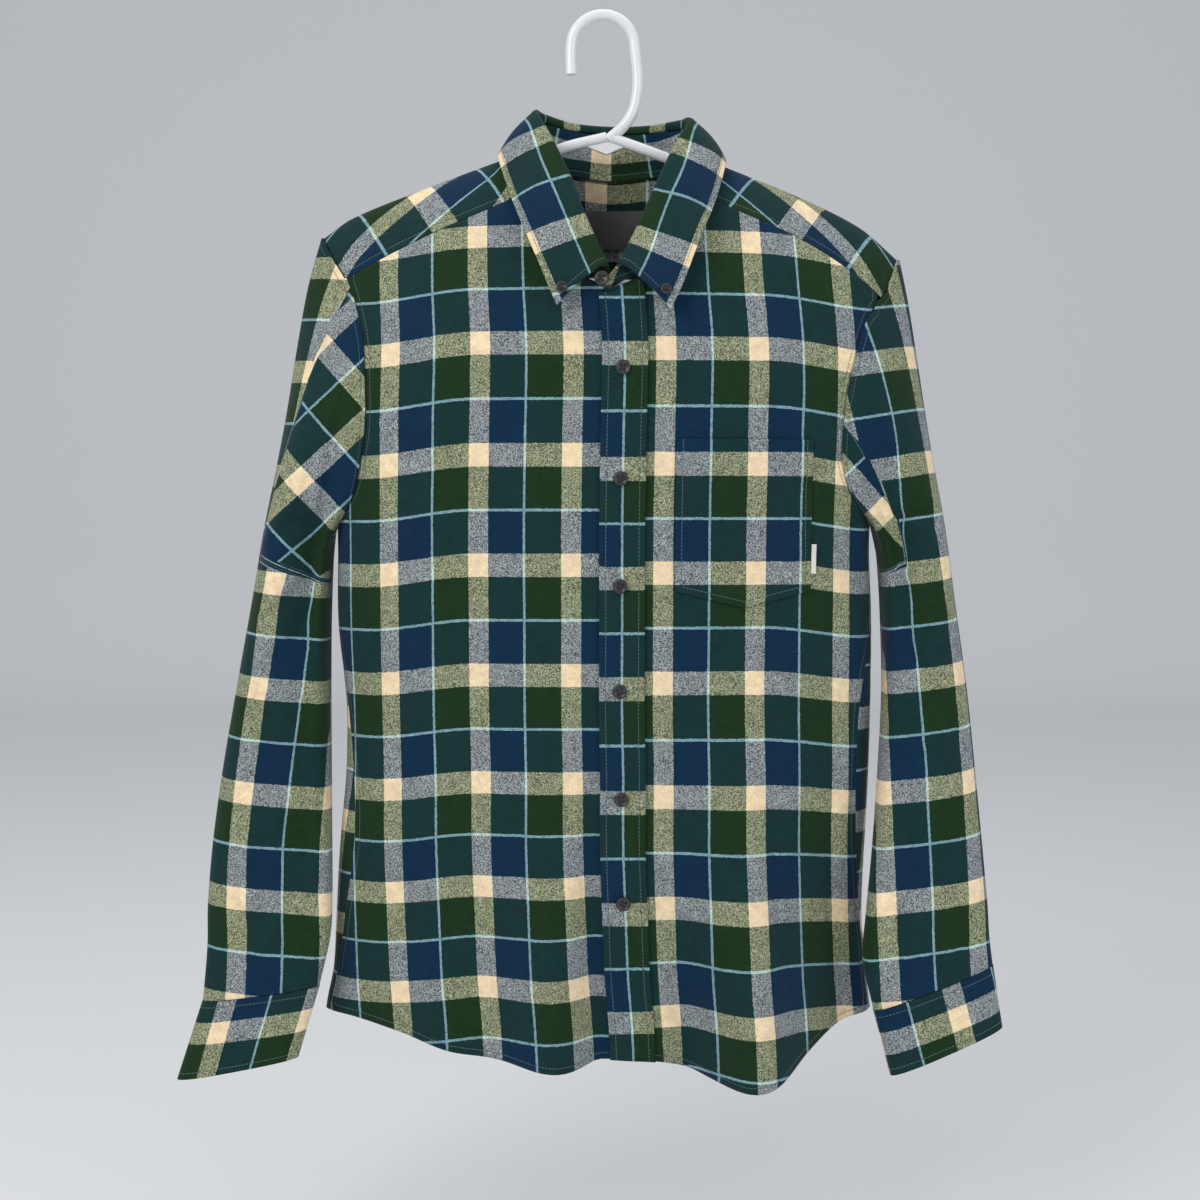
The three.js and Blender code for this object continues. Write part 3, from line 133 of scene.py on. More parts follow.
cloth = {"single": 1.2, "double": 1.8, "label": 1.0, "clearance": 0.3}
edges = {"button stand": -12, "placket": -16, "placket seam": 16, "side foot": -788, "back seam": -232}
underarm = {"right": -399, "left": -394}
seamLevelGuess = {"right": -200, "left": 216}
shoulderTip = {"right": -221, "left": 233}
neckSide = {"right": -66, "left": 78}
sign = {"right": -1, "left": 1}
frontStart = {"right": -edges["button stand"], "left": edges["placket seam"]}
sectionPower = 2.6
ridgeReach = 170
ridgePower = 1.6
cornerTrim = 4
slopingSeam = 0.8


def smooth(t):
    t = np.clip(t, 0, 1)
    return t * t * (3 - 2 * t)


def mix(a, b, t):
    return a + (b - a) * t


# one column of a table by another, along a smooth curve through its rows
def curve(source, key, column, at):
    keys, values = source[key], source[column]
    last = len(keys) - 1
    before = np.maximum(np.arange(last + 1) - 1, 0)
    after = np.minimum(np.arange(last + 1) + 1, last)
    slopes = (values[after] - values[before]) / (keys[after] - keys[before])
    at = np.clip(at, keys[0], keys[last])
    k = np.clip(np.searchsorted(keys, at) - 1, 0, last - 1)
    span = keys[k + 1] - keys[k]
    t = (at - keys[k]) / span
    value = values[k] * (2 * t**3 - 3 * t**2 + 1) + values[k + 1] * (3 * t**2 - 2 * t**3)
    return value + span * (slopes[k] * (t**3 - 2 * t**2 + t) + slopes[k + 1] * (t**3 - t**2))


def ridgeZ(x):
    return curve(ridge, "x", "z", x)


def fullness(drop):
    rest = 1 - np.clip(drop / ridgeReach, 0, 1)
    return (1 - rest**ridgePower) ** (1 / ridgePower)


# a value along each row of keys that rise from left to right
def alongRow(keys, values, target):
    k = np.clip((keys < target[:, None]).sum(axis=1), 1, keys.shape[1] - 1)
    row = np.arange(len(target))
    low, high = keys[row, k - 1], keys[row, k]
    t = np.clip((target - low) / np.where(high > low, high - low, 1), 0, 1)
    return mix(values[row, k - 1], values[row, k], t)


# level sections of the body as closed runs from the right side across the front and back behind
def sections(z):
    angle = np.linspace(0, 2 * math.pi, 161)
    power = 2 / sectionPower
    across = np.sign(np.cos(angle)) * np.abs(np.cos(angle)) ** power
    out = np.abs(np.sin(angle)) ** power
    side = {name: curve(body, "z", name, z)[:, None] for name in body if name != "z"}
    x = (side["left"] + side["right"]) / 2 - (side["left"] - side["right"]) / 2 * across
    depth = np.where(np.arange(161) <= 80, -side["front"], side["back"])
    y = side["mid"] + depth * out * fullness(ridgeZ(x) - z[:, None])
    steps = np.hypot(np.diff(x, axis=1), np.diff(y, axis=1))
    length = np.concatenate([np.zeros((len(z), 1)), np.cumsum(steps, axis=1)], axis=1)
    centre = side["centre"][:, 0]
    found = {"x": x, "y": y, "length": length, "total": length[:, -1]}
    found["centre front"] = lengthAt(found, "front", centre)
    found["centre back"] = lengthAt(found, "back", centre - 6)
    return found


def lengthAt(level, face, x):
    if face == "front":
        return alongRow(level["x"][:, :81], level["length"][:, :81], x)
    return alongRow(-level["x"][:, 80:], level["length"][:, 80:], -x)


def creaseDepth(lines, a, b):
    total = np.zeros_like(a)
    for a0, b0, a1, b1, width, depth in lines:
        run = np.array([a1 - a0, b1 - b0], float)
        length = math.hypot(*run)
        run /= length
        along = ((a - a0) * run[0] + (b - b0) * run[1]) / length
        off = (a - a0) * -run[1] + (b - b0) * run[0]
        bow = 0.06 * length * (along - 0.5) ** 2
        taper = np.sin(math.pi * np.clip(along, 0, 1)) ** 0.8
        total += depth * taper * np.exp(-(((off - bow) / (width * (0.6 + 0.5 * along.clip(0, 1)))) ** 2))
    return total


def foldDepth(face, u, z):
    total = creaseDepth(creases[face], u, z)
    for place, width, depth, top, bottom, lean in folds[face]:
        grown = smooth((top - z) / (top - bottom))
        total = total + depth * grown * np.exp(-(((u - place - lean * grown) / width) ** 2))
    return total * smooth((foldLimit[face] - np.abs(u)) / foldFade)


# points of the body's cloth: the distance along it from the centre front or back, towards +X
def bodyPoints(face, u, z):
    shape = np.broadcast(u, z).shape
    u, z = (np.broadcast_to(v, shape).astype(float).ravel() for v in (u, z))
    level = sections(z)
    wanted = level["centre front"] + u if face == "front" else level["centre back"] - u
    wanted = np.mod(wanted, level["total"])
    x = alongRow(level["length"], level["x"], wanted)
    y = alongRow(level["length"], level["y"], wanted)
    y += (-1 if face == "front" else 1) * foldDepth(face, u, z)
    return np.stack([x, y, z], axis=-1).reshape(shape + (3,))


# points near the shoulder, by x and the drop below the ridge, minus in front and plus behind
def shoulderPoints(x, drop):
    x, drop = np.broadcast_arrays(np.asarray(x, float), np.asarray(drop, float))
    z = ridgeZ(x) - np.abs(drop)
    side = {name: curve(body, "z", name, z) for name in ("left", "right", "front", "back", "mid")}
    across = (x - (side["left"] + side["right"]) / 2) / ((side["left"] - side["right"]) / 2)
    out = (1 - np.minimum(1, np.abs(across)) ** sectionPower) ** (1 / sectionPower)
    depth = np.where(drop < 0, -side["front"], side["back"])
    return np.stack([x, side["mid"] + depth * out * fullness(np.abs(drop)), z], axis=-1)


def unit(vectors):
    return vectors / np.linalg.norm(vectors, axis=-1, keepdims=True)


# normals of a grid of points; wrapped grids join their last column to the first
def gridNormals(points, wrapped=False):
    if wrapped:
        across = np.roll(points, -1, axis=0) - np.roll(points, 1, axis=0)
    else:
        across = np.gradient(points, axis=0)
    return unit(np.cross(across, np.gradient(points, axis=1)))


def facing(normals, points, inside):
    return normals if np.sum(normals * (points - inside)) > 0 else -normals


# a run of shares from 0 to 1 with a close column beside each edge
def shares(count, border=0.006):
    inner = np.linspace(0, 1, count + 1)[1:-1]
    return np.concatenate([[0, border], inner, [1 - border, 1]])


# the plaid: one repeat across is cream, navy, a light line and green; one repeat down is a light line,
# navy, cream and green, each band as its share of the repeat
plaid = {
    "repeat across": 71.2,
    "repeat down": 83.1,
    "across": {"cream": (0.0, 0.2149), "line": (0.5900, 0.6150), "green": (0.6150, 1.0)},
    "down": {"cream": (0.4104, 0.6221), "line": (0.0025, 0.0270), "green": (0.6221, 1.0)},
    "cream centre across": 0.1075,
    "cream centre down": 0.5163,
    "navy": (0.0012, 0.023, 0.058),
    "teal": (0.0050, 0.031, 0.031),
    "green": (0.0085, 0.031, 0.0095),
    "cream": (0.89, 0.71, 0.46),
    "light beside navy": (0.45, 0.48, 0.46),
    "light beside green": (0.47, 0.49, 0.31),
    "line": (0.22, 0.38, 0.43),
    "line on cream": (0.62, 0.78, 0.68),
}


def acrossPhase(distance, creamCentre):
    return (distance - creamCentre) / plaid["repeat across"] + plaid["cream centre across"]


def downPhase(distance, creamCentre):
    return (distance - creamCentre) / plaid["repeat down"] + plaid["cream centre down"]


# the rows of the fronts, by the level of each cream row's middle
frontRows = {"right": [-758, -678, -596, -512, -427, -343, -258], "left": [-784, -696, -607, -518, -433, -350, -262]}


def frontPhase(side, z):
    levels = np.array(frontRows[side], float)
    row = np.interp(z, levels, np.arange(len(levels) - 1, -1, -1))
    row = np.where(z > levels[-1], (levels[-1] - z) / plaid["repeat down"], row)
    row = np.where(z < levels[0], len(levels) - 1 + (levels[0] - z) / plaid["repeat down"], row)
    return row + plaid["cream centre down"]


class Graph:
    def __init__(self, tree):
        self.tree = tree

    def node(self, kind, inputs=(), **settings):
        found = self.tree.nodes.new(kind)
        for name, value in settings.items():
            setattr(found, name, value)
        for key, value in dict(inputs).items():
            if isinstance(value, bpy.types.NodeSocket):
                self.tree.links.new(value, found.inputs[key])
            else:
                found.inputs[key].default_value = value
        return found

    def math(self, operation, *values):
        return self.node("ShaderNodeMath", enumerate(values), operation=operation).outputs[0]

    def blend(self, share, low, high):
        found = self.node("ShaderNodeMix", {0: share}, data_type="RGBA")
        for key, value in ((6, low), (7, high)):
            if isinstance(value, bpy.types.NodeSocket):
                self.tree.links.new(value, found.inputs[key])
            else:
                found.inputs[key].default_value = (*value, 1)
        return found.outputs[2]

    def band(self, value, limits):
        middle, reach = (limits[0] + limits[1]) / 2, (limits[1] - limits[0]) / 2
        return self.math("COMPARE", value, middle, reach)


def newGroup(name, inputs, outputs):
    group = bpy.data.node_groups.new(name, "ShaderNodeTree")
    for title, kind in inputs:
        group.interface.new_socket(title, in_out="INPUT", socket_type=kind)
    for title, kind in outputs:
        group.interface.new_socket(title, in_out="OUTPUT", socket_type=kind)
    graph = Graph(group)
    return group, graph, graph.node("NodeGroupInput"), graph.node("NodeGroupOutput")


# the woven plaid from the cloth's own coordinates, counted in repeats
def buildPlaidGroup():
    group, graph, source, result = newGroup(
        "wovenPlaid", [("Cloth", "NodeSocketVector"), ("Place", "NodeSocketVector")],
        [("Color", "NodeSocketColor"), ("Height", "NodeSocketFloat")])
    wander = graph.node("ShaderNodeTexNoise", {"Vector": source.outputs["Place"], "Scale": 380, "Detail": 1})
    drift = graph.math("MULTIPLY", graph.math("SUBTRACT", wander.outputs[0], 0.5), 0.012)
    parts = graph.node("ShaderNodeSeparateXYZ", {0: source.outputs["Cloth"]})
    across = graph.math("FRACT", graph.math("ADD", parts.outputs[0], drift))
    down = graph.math("FRACT", graph.math("ADD", parts.outputs[1], drift))
    bands = {}
    for way, value in (("across", across), ("down", down)):
        for name in ("cream", "line", "green"):
            bands[way, name] = graph.band(value, plaid[way][name])
    greens = graph.math("MULTIPLY", graph.math("ADD", bands["across", "green"], bands["down", "green"]), 0.5)
    navyToTeal = graph.blend(graph.math("MULTIPLY", greens, 2), plaid["navy"], plaid["teal"])
    dark = graph.blend(graph.math("SUBTRACT", graph.math("MULTIPLY", greens, 2), 1), navyToTeal, plaid["green"])
    otherGreen = graph.math("MAXIMUM", bands["across", "green"], bands["down", "green"])
    single = graph.blend(otherGreen, plaid["navy"], plaid["green"])
    creams = graph.math("ADD", bands["across", "cream"], bands["down", "cream"])
    hasCream = graph.math("MINIMUM", creams, 1)
    allCream = graph.math("SUBTRACT", creams, hasCream)
    lines = graph.math("MAXIMUM", bands["across", "line"], bands["down", "line"])
    # threads: short floats of one yarn over the other make the speckle where light meets dark
    speckle = graph.node("ShaderNodeTexNoise", {"Vector": source.outputs["Place"], "Scale": 980, "Detail": 2,
                                                "Roughness": 0.8})
    over = graph.node("ShaderNodeMapRange", {0: speckle.outputs[0], 1: 0.39, 2: 0.61, 3: 0.06, 4: 0.94})
    light = graph.blend(otherGreen, plaid["light beside navy"], plaid["light beside green"])
    heather = graph.blend(over.outputs[0], single, light)
    color = graph.blend(hasCream, dark, heather)
    color = graph.blend(allCream, color, plaid["cream"])
    lineColor = graph.blend(graph.math("MULTIPLY", hasCream, 0.85), plaid["line"], plaid["line on cream"])
    thread = graph.node("ShaderNodeMapRange", {0: speckle.outputs[0], 1: 0.36, 2: 0.5, 3: 0.45, 4: 1})
    color = graph.blend(graph.math("MULTIPLY", lines, thread.outputs[0]), color, lineColor)
    # brushed surface: soft clouds of nap, lighter where it stands up
    nap = graph.node("ShaderNodeTexNoise", {"Vector": source.outputs["Place"], "Scale": 160, "Detail": 6,
                                            "Roughness": 0.7})
    shade = graph.node("ShaderNodeMapRange", {0: nap.outputs[0], 1: 0.3, 2: 0.7, 3: 0.82, 4: 1.16})
    fine = graph.node("ShaderNodeMapRange", {0: speckle.outputs[0], 1: 0.3, 2: 0.7, 3: 0.86, 4: 1.14})
    both = graph.math("MULTIPLY", shade.outputs[0], fine.outputs[0])
    bright = graph.node("ShaderNodeVectorMath", {0: color, 3: both}, operation="SCALE")
    height = graph.math("ADD", graph.math("MULTIPLY", nap.outputs[0], 0.6), graph.math("MULTIPLY", speckle.outputs[0], 0.4))
    graph.tree.links.new(bright.outputs[0], result.inputs["Color"])
    graph.tree.links.new(height, result.inputs["Height"])
    return group


# a row of stitches at one distance from an edge; Seam holds the distance along and from the edge
stitching = {"spacing": 2.9, "length share": 0.68, "half width": 0.34, "color": (0.10, 0.13, 0.13)}


def buildStitchGroup():
    group, graph, source, result = newGroup(
        "stitchRows", [("Seam", "NodeSocketVector"), ("Distance", "NodeSocketFloat")],
        [("Mask", "NodeSocketFloat"), ("Pucker", "NodeSocketFloat")])
    parts = graph.node("ShaderNodeSeparateXYZ", {0: source.outputs["Seam"]})
    along = graph.math("FRACT", graph.math("DIVIDE", parts.outputs[0], stitching["spacing"]))
    off = graph.math("ABSOLUTE", graph.math("SUBTRACT", parts.outputs[1], source.outputs["Distance"]))
    near = graph.math("LESS_THAN", off, stitching["half width"])
    dash = graph.math("LESS_THAN", along, stitching["length share"])
    mask = graph.math("MULTIPLY", near, dash)
    groove = graph.node("ShaderNodeMapRange", {0: off, 1: 0, 2: 1.6, 3: 0, 4: 1})
    graph.tree.links.new(mask, result.inputs["Mask"])
    graph.tree.links.new(groove.outputs[0], result.inputs["Pucker"])
    return group


def newMaterial(name, color, roughness, **settings):
    material = bpy.data.materials.new(name)
    material.use_nodes = True
    graph = Graph(material.node_tree)
    surface = material.node_tree.nodes["Principled BSDF"]
    surface.inputs["Base Color"].default_value = (*color, 1)
    surface.inputs["Roughness"].default_value = roughness
    for key, value in settings.items():
        surface.inputs[key.replace("_", " ").title()].default_value = value
    return material, graph, surface


flannel = {"roughness": 0.92, "nap height": 0.0005, "stitch height": 0.0006}


def buildFlannel():
    material, graph, surface = newMaterial("flannel", plaid["navy"], flannel["roughness"])
    surface.inputs["Sheen Weight"].default_value = 0.08
    surface.inputs["Sheen Roughness"].default_value = 0.45
    surface.inputs["Specular IOR Level"].default_value = 0.2
    clothMap = graph.node("ShaderNodeUVMap", uv_map="cloth")
    seamMap = graph.node("ShaderNodeUVMap", uv_map="seam")
    place = graph.node("ShaderNodeTexCoord")
    weave = graph.node("ShaderNodeGroup", node_tree=buildPlaidGroup())
    stitches = graph.node("ShaderNodeGroup", node_tree=buildStitchGroup())
    stitches.inputs["Distance"].default_value = 5.0
    graph.tree.links.new(clothMap.outputs[0], weave.inputs["Cloth"])
    graph.tree.links.new(place.outputs["Object"], weave.inputs["Place"])
    graph.tree.links.new(seamMap.outputs[0], stitches.inputs["Seam"])
    color = graph.blend(stitches.outputs["Mask"], weave.outputs["Color"], stitching["color"])
    graph.tree.links.new(color, surface.inputs["Base Color"])
    napBump = graph.node("ShaderNodeBump", {"Height": weave.outputs["Height"], "Strength": 0.55,
                                            "Distance": flannel["nap height"]})
    seamBump = graph.node("ShaderNodeBump", {"Height": stitches.outputs["Pucker"], "Strength": 0.7,
                                             "Distance": flannel["stitch height"],
                                             "Normal": napBump.outputs[0]})
    graph.tree.links.new(seamBump.outputs[0], surface.inputs["Normal"])
    return material


flannelMaterial = buildFlannel()
print("materials of the cloth ready")


# a sheet of cloth from a grid of points in millimetres, its plaid coordinates and its seam coordinates
def makeSheet(name, points, clothCoords, thickness, seam=None, wrapped=False, keep=None, material=None):
    columns, rows = points.shape[:2]
    mesh = bpy.data.meshes.new(name)
    bm = bmesh.new()
    bmesh.ops.create_grid(bm, x_segments=columns - 1, y_segments=rows - 1, size=0.5)
    where = {}
    for vert in bm.verts:
        i = round((vert.co.x + 0.5) * (columns - 1))
        j = round((vert.co.y + 0.5) * (rows - 1))
        where[vert] = (i, j)
    for vert, (i, j) in where.items():
        vert.co = Vector(points[i, j]) * mm
    layers = [(bm.loops.layers.uv.new("cloth"), clothCoords)]
    noSeam = np.full((columns, rows, 2), -50.0)
    layers.append((bm.loops.layers.uv.new("seam"), noSeam if seam is None else seam))
    for face in bm.faces:
        for loop in face.loops:
            for layer, values in layers:
                loop[layer].uv = values[where[loop.vert]]
    if keep is not None:
        gone = [face for face in bm.faces if not keep(*map(min, zip(*(where[v] for v in face.verts))))]
        bmesh.ops.delete(bm, geom=gone, context="FACES")
    if wrapped:
        bmesh.ops.remove_doubles(bm, verts=bm.verts, dist=1e-6)
    for face in bm.faces:
        face.smooth = True
    bmesh.ops.recalc_face_normals(bm, faces=bm.faces)
    flatArea = sum(face.calc_area() for face in bm.faces)
    bm.to_mesh(mesh)
    bm.free()
    sheet = bpy.data.objects.new(name, mesh)
    bpy.context.scene.collection.objects.link(sheet)
    sheet.data.materials.append(material or flannelMaterial)
    wall = sheet.modifiers.new("cloth", "SOLIDIFY")
    wall.thickness = thickness * mm
    wall.offset = 0
    wall.use_even_offset = False
    sheet["flat area"] = flatArea
    return sheet


def settle(piece, nodes):
    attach(piece, "root")
    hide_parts(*nodes)
    return piece


# takes the stored flat area off a sheet again
def declareSheet(piece):
    del piece["flat area"]


# seam coordinates: distance along the rows or columns, and from the nearest chosen edge
def seamCoords(points, first=False, last=False, bottom=False, top=False, wrapped=False):
    alongColumns = np.cumsum(np.linalg.norm(np.diff(points, axis=1, prepend=points[:, :1]), axis=-1), axis=1)
    alongRows = np.cumsum(np.linalg.norm(np.diff(points, axis=0, prepend=points[:1]), axis=-1), axis=0)
    choices = []
    if first:
        choices.append((alongColumns, alongRows))
    if last:
        choices.append((alongColumns, alongRows[-1:] - alongRows))
    if bottom:
        choices.append((alongRows, alongColumns))
    if top:
        choices.append((alongRows, alongColumns[:, -1:] - alongColumns))
    away = np.stack([choice[1] for choice in choices])
    along = np.stack([choice[0] for choice in choices])
    pick = away.argmin(axis=0)[None]
    return np.stack([np.take_along_axis(along, pick, 0)[0], np.take_along_axis(away, pick, 0)[0]], axis=-1)


# the distance along the cloth from the centre to the side seam or the armhole
def edgeReach(side, face, z):
    z = np.atleast_1d(np.asarray(z, float))
    level = sections(z)
    seamLength = lengthAt(level, "front", curve(body, "z", "seam" + side.title(), z))
    armLength = lengthAt(level, face, curve(armhole[side], "z", face, z))
    if face == "front":
        reach = (seamLength - level["centre front"]) * sign[side]
        atArm = (armLength - level["centre front"]) * sign[side]
    elif side == "left":
        reach = level["centre back"] - seamLength
        atArm = level["centre back"] - armLength
    else:
        reach = seamLength + level["total"] - level["centre back"]
        atArm = armLength - level["centre back"]
    return np.where(z > underarm[side], atArm, reach)


def seamEnd(side):
    x = seamLevelGuess[side]
    for _ in range(24):
        x = curve(armhole[side], "z", "front", ridgeZ(x) - curve(ridge, "x", "seamDrop", x))
    return ridgeZ(x) - curve(ridge, "x", "seamDrop", x)


seamEnds = {side: seamEnd(side) for side in ("right", "left")}


def frontReach(side, share, z):
    level = np.minimum(z, seamEnds[side] - cornerTrim)
    shape = np.broadcast(share, level).shape
    reach = edgeReach(side, "front", np.broadcast_to(level, shape).ravel()).reshape(shape)
    return sign[side] * mix(frontStart[side], reach, share)


# the top edge of a front: the neckline, and beyond it the yoke's seam
def frontTopAt(side, x):
    beyond = x < neckSide["right"] if side == "right" else x > neckSide["left"]
    neckline = ridgeZ(x) + curve(neckFront[side], "x", "drop", x)
    return np.where(beyond, ridgeZ(x) - curve(ridge, "x", "seamDrop", x), neckline)


def frontTop(side, share):
    low, high = np.full_like(share, -400), np.full_like(share, -90)
    for _ in range(24):
        z = (low + high) / 2
        x = bodyPoints("front", frontReach(side, share, z), z)[..., 0]
        under = z < frontTopAt(side, x)
        low, high = np.where(under, z, low), np.where(under, high, z)
    return low


def panelLevels(bottom, middle, top, below, above):
    levels = np.concatenate([mix(bottom, middle, shares(below)), mix(middle, top, shares(above))[1:]])
    return (levels - bottom) / (top - bottom)


front = {"columns": 42, "rows below underarm": 66, "rows above": 40, "droop": 9,
         "cream centre": {"right": -37.4, "left": 33}}


def makeFront(side):
    share = shares(front["columns"])
    reach = edgeReach(side, "front", edges["side foot"])[0]
    foot = curve(hem["front"], "u", "z", sign[side] * mix(frontStart[side], reach, share))
    top = frontTop(side, share) - slopingSeam / 2
    levels = panelLevels(foot[-1], underarm[side], top[-1], front["rows below underarm"], front["rows above"])
    z = mix(foot[:, None], top[:, None], levels[None])
    inset = cloth["clearance"] / 2 / reach
    u = frontReach(side, mix(inset, 1 - inset, share)[:, None], z)
    points = bodyPoints("front", u, z)
    droop = front["droop"] * smooth((np.abs(u) - 110) / 90)
    coords = np.stack([acrossPhase(u, front["cream centre"][side]), frontPhase(side, z + droop)], axis=-1)
    normals = facing(gridNormals(points), points, np.array([0, 0, -450]))
    piece = makeSheet("front" + side.title(), points, coords, cloth["single"],
                      seam=seamCoords(points, last=True, bottom=True))
    settle(piece, ["front_" + side])
    declareSheet(piece)
    return points, normals


back = {"columns": 72, "rows below underarm": 60, "rows above": 34, "cream centre": 26, "cream level": -300}


def makeBack():
    around = np.sort(np.concatenate([-shares(back["columns"] // 2)[1:], shares(back["columns"] // 2)]))
    side = np.where(around < 0, "right", "left")
    reach = edgeReach("left", "back", edges["side foot"])[0]
    foot = curve(hem["back"], "u", "z", np.abs(around) * reach)
    edge = curve(hem["back"], "u", "z", reach)
    top = edges["back seam"] - slopingSeam / 2
    middle = mix(underarm["right"], underarm["left"], (around + 1) / 2)
    z = np.array([mix(foot[k], top, panelLevels(edge, middle[k], top, back["rows below underarm"],
                                                back["rows above"])) for k in range(len(around))])
    inset = cloth["clearance"] / 2 / reach
    reaches = np.array([edgeReach(side[k], "back", z[k]) for k in range(len(around))])
    u = reaches * (around * (1 - inset))[:, None]
    points = bodyPoints("back", u, z)
    coords = np.stack([acrossPhase(u, back["cream centre"]), downPhase(-z, -back["cream level"])], axis=-1)
    normals = facing(gridNormals(points), points, np.array([0, 0, -450]))
    piece = makeSheet("back", points, coords, cloth["single"], seam=seamCoords(points, bottom=True))
    settle(piece, ["back"])
    declareSheet(piece)
    return points, normals


yoke = {"columns beside neck": 26, "columns behind neck": 26, "back rows": 15, "front rows": 12,
        "back spacing": 1.9, "front spacing": 1.6, "cream centre": 132, "cream drop": 55,
        "turn": 26, "left shift": 0.39, "inner centre": -5.6, "inner drop": 9}


def armholeX(side, drop):
    x = np.full_like(drop, shoulderTip[side])
    ahead, behind = x, x
    for _ in range(24):
        ahead = curve(armhole[side], "z", "front", ridgeZ(ahead) - np.abs(drop))
        behind = curve(armhole[side], "z", "back", ridgeZ(behind) - np.abs(drop))
    return np.where(drop < 0, ahead, behind)


def makeYoke():
    beside, behind = yoke["columns beside neck"], yoke["columns behind neck"]
    across = 0.5 - 0.5 * np.cos(math.pi * np.linspace(0, 1, behind + 1))[1:-1]
    outer = shares(beside - 2)
    tops = np.concatenate([
        mix(shoulderTip["right"], neckSide["right"], outer), mix(neckSide["right"], neckSide["left"], across),
        mix(neckSide["left"], shoulderTip["left"], outer)])

    def place(x, drop):
        drop = np.asarray(drop, float)
        if neckSide["right"] < x < neckSide["left"]:
            return shoulderPoints(np.full_like(drop, x), drop)
        side = "right" if x < 0 else "left"
        share = (x - neckSide[side]) / (shoulderTip[side] - neckSide[side])
        edge = armholeX(side, drop) - sign[side] * cloth["clearance"] / 2
        return shoulderPoints(mix(neckSide[side], edge, share), drop)

    backShare = np.delete(shares(yoke["back rows"] - 2), 1)[::-1] ** yoke["back spacing"]
    frontShare = shares(yoke["front rows"] - 1)[2:] ** yoke["front spacing"]
    lines, drops = [], []
    for x in tops:
        inNeck = neckSide["right"] < x < neckSide["left"]
        topDrop = float(curve(neckBack, "x", "drop", x)) if inNeck else 0.0
        at = place(x, mix(topDrop, 60, backShare))[:, 0]
        backDrop = mix(topDrop, ridgeZ(at) - edges["back seam"] - slopingSeam / 2, backShare)
        at = place(x, -40 * frontShare)[:, 0]
        frontDrop = -(curve(ridge, "x", "seamDrop", at) - slopingSeam / 2) * frontShare
        drop = np.concatenate([backDrop, frontDrop])
        lines.append(place(x, drop))
        drops.append(drop)
    points, drops = np.array(lines), np.array(drops)
    backRows = len(backShare) - 1
    first, last = len(outer) - 1, len(outer) + behind - 1
    steps = np.linalg.norm(np.diff(points, axis=1, prepend=points[:, :1]), axis=-1)
    along = np.cumsum(steps, axis=1)
    along = along[:, backRows:backRows + 1] - along
    # the plaid turns with the slope of each shoulder in front, and lies straight across the back
    x, y = points[..., 0], along
    turn = math.radians(yoke["turn"]) * smooth((np.abs(x) - 40) / 50) * smooth((25 - y) / 25) * np.sign(x)
    outward = x * np.cos(turn) - y * np.sin(turn)
    upward = y * np.cos(turn) + x * np.sin(turn)
    shift = yoke["left shift"] * smooth((x + 60) / 120)
    coords = np.stack([acrossPhase(-upward, -yoke["cream drop"]),
                       downPhase(-outward, yoke["cream centre"]) + shift], axis=-1)
    # the part inside the collar shows its own place in the plaid
    inside = (np.arange(len(x)) > first)[:, None] & (np.arange(len(x)) < last)[:, None] & (y < 30)
    coords[inside] = np.stack([acrossPhase(y, yoke["inner drop"]), downPhase(x, yoke["inner centre"])],
                              axis=-1)[inside]
    normals = facing(gridNormals(points), points, np.array([0, 0, -300]))
    seam = seamCoords(points, bottom=True, top=True)
    piece = makeSheet("yoke", points, coords, cloth["single"], seam=seam,
                      keep=lambda i, j: j < backRows or i < first or i >= last)
    settle(piece, ["yoke"])
    declareSheet(piece)
    return points, normals, backRows


frontPoints, frontNormals = {}, {}
for side in ("right", "left"):
    frontPoints[side], frontNormals[side] = makeFront(side)
backPoints, backNormals = makeBack()
yokePoints, yokeNormals, ridgeRow = makeYoke()
print("fronts, back and yoke made")

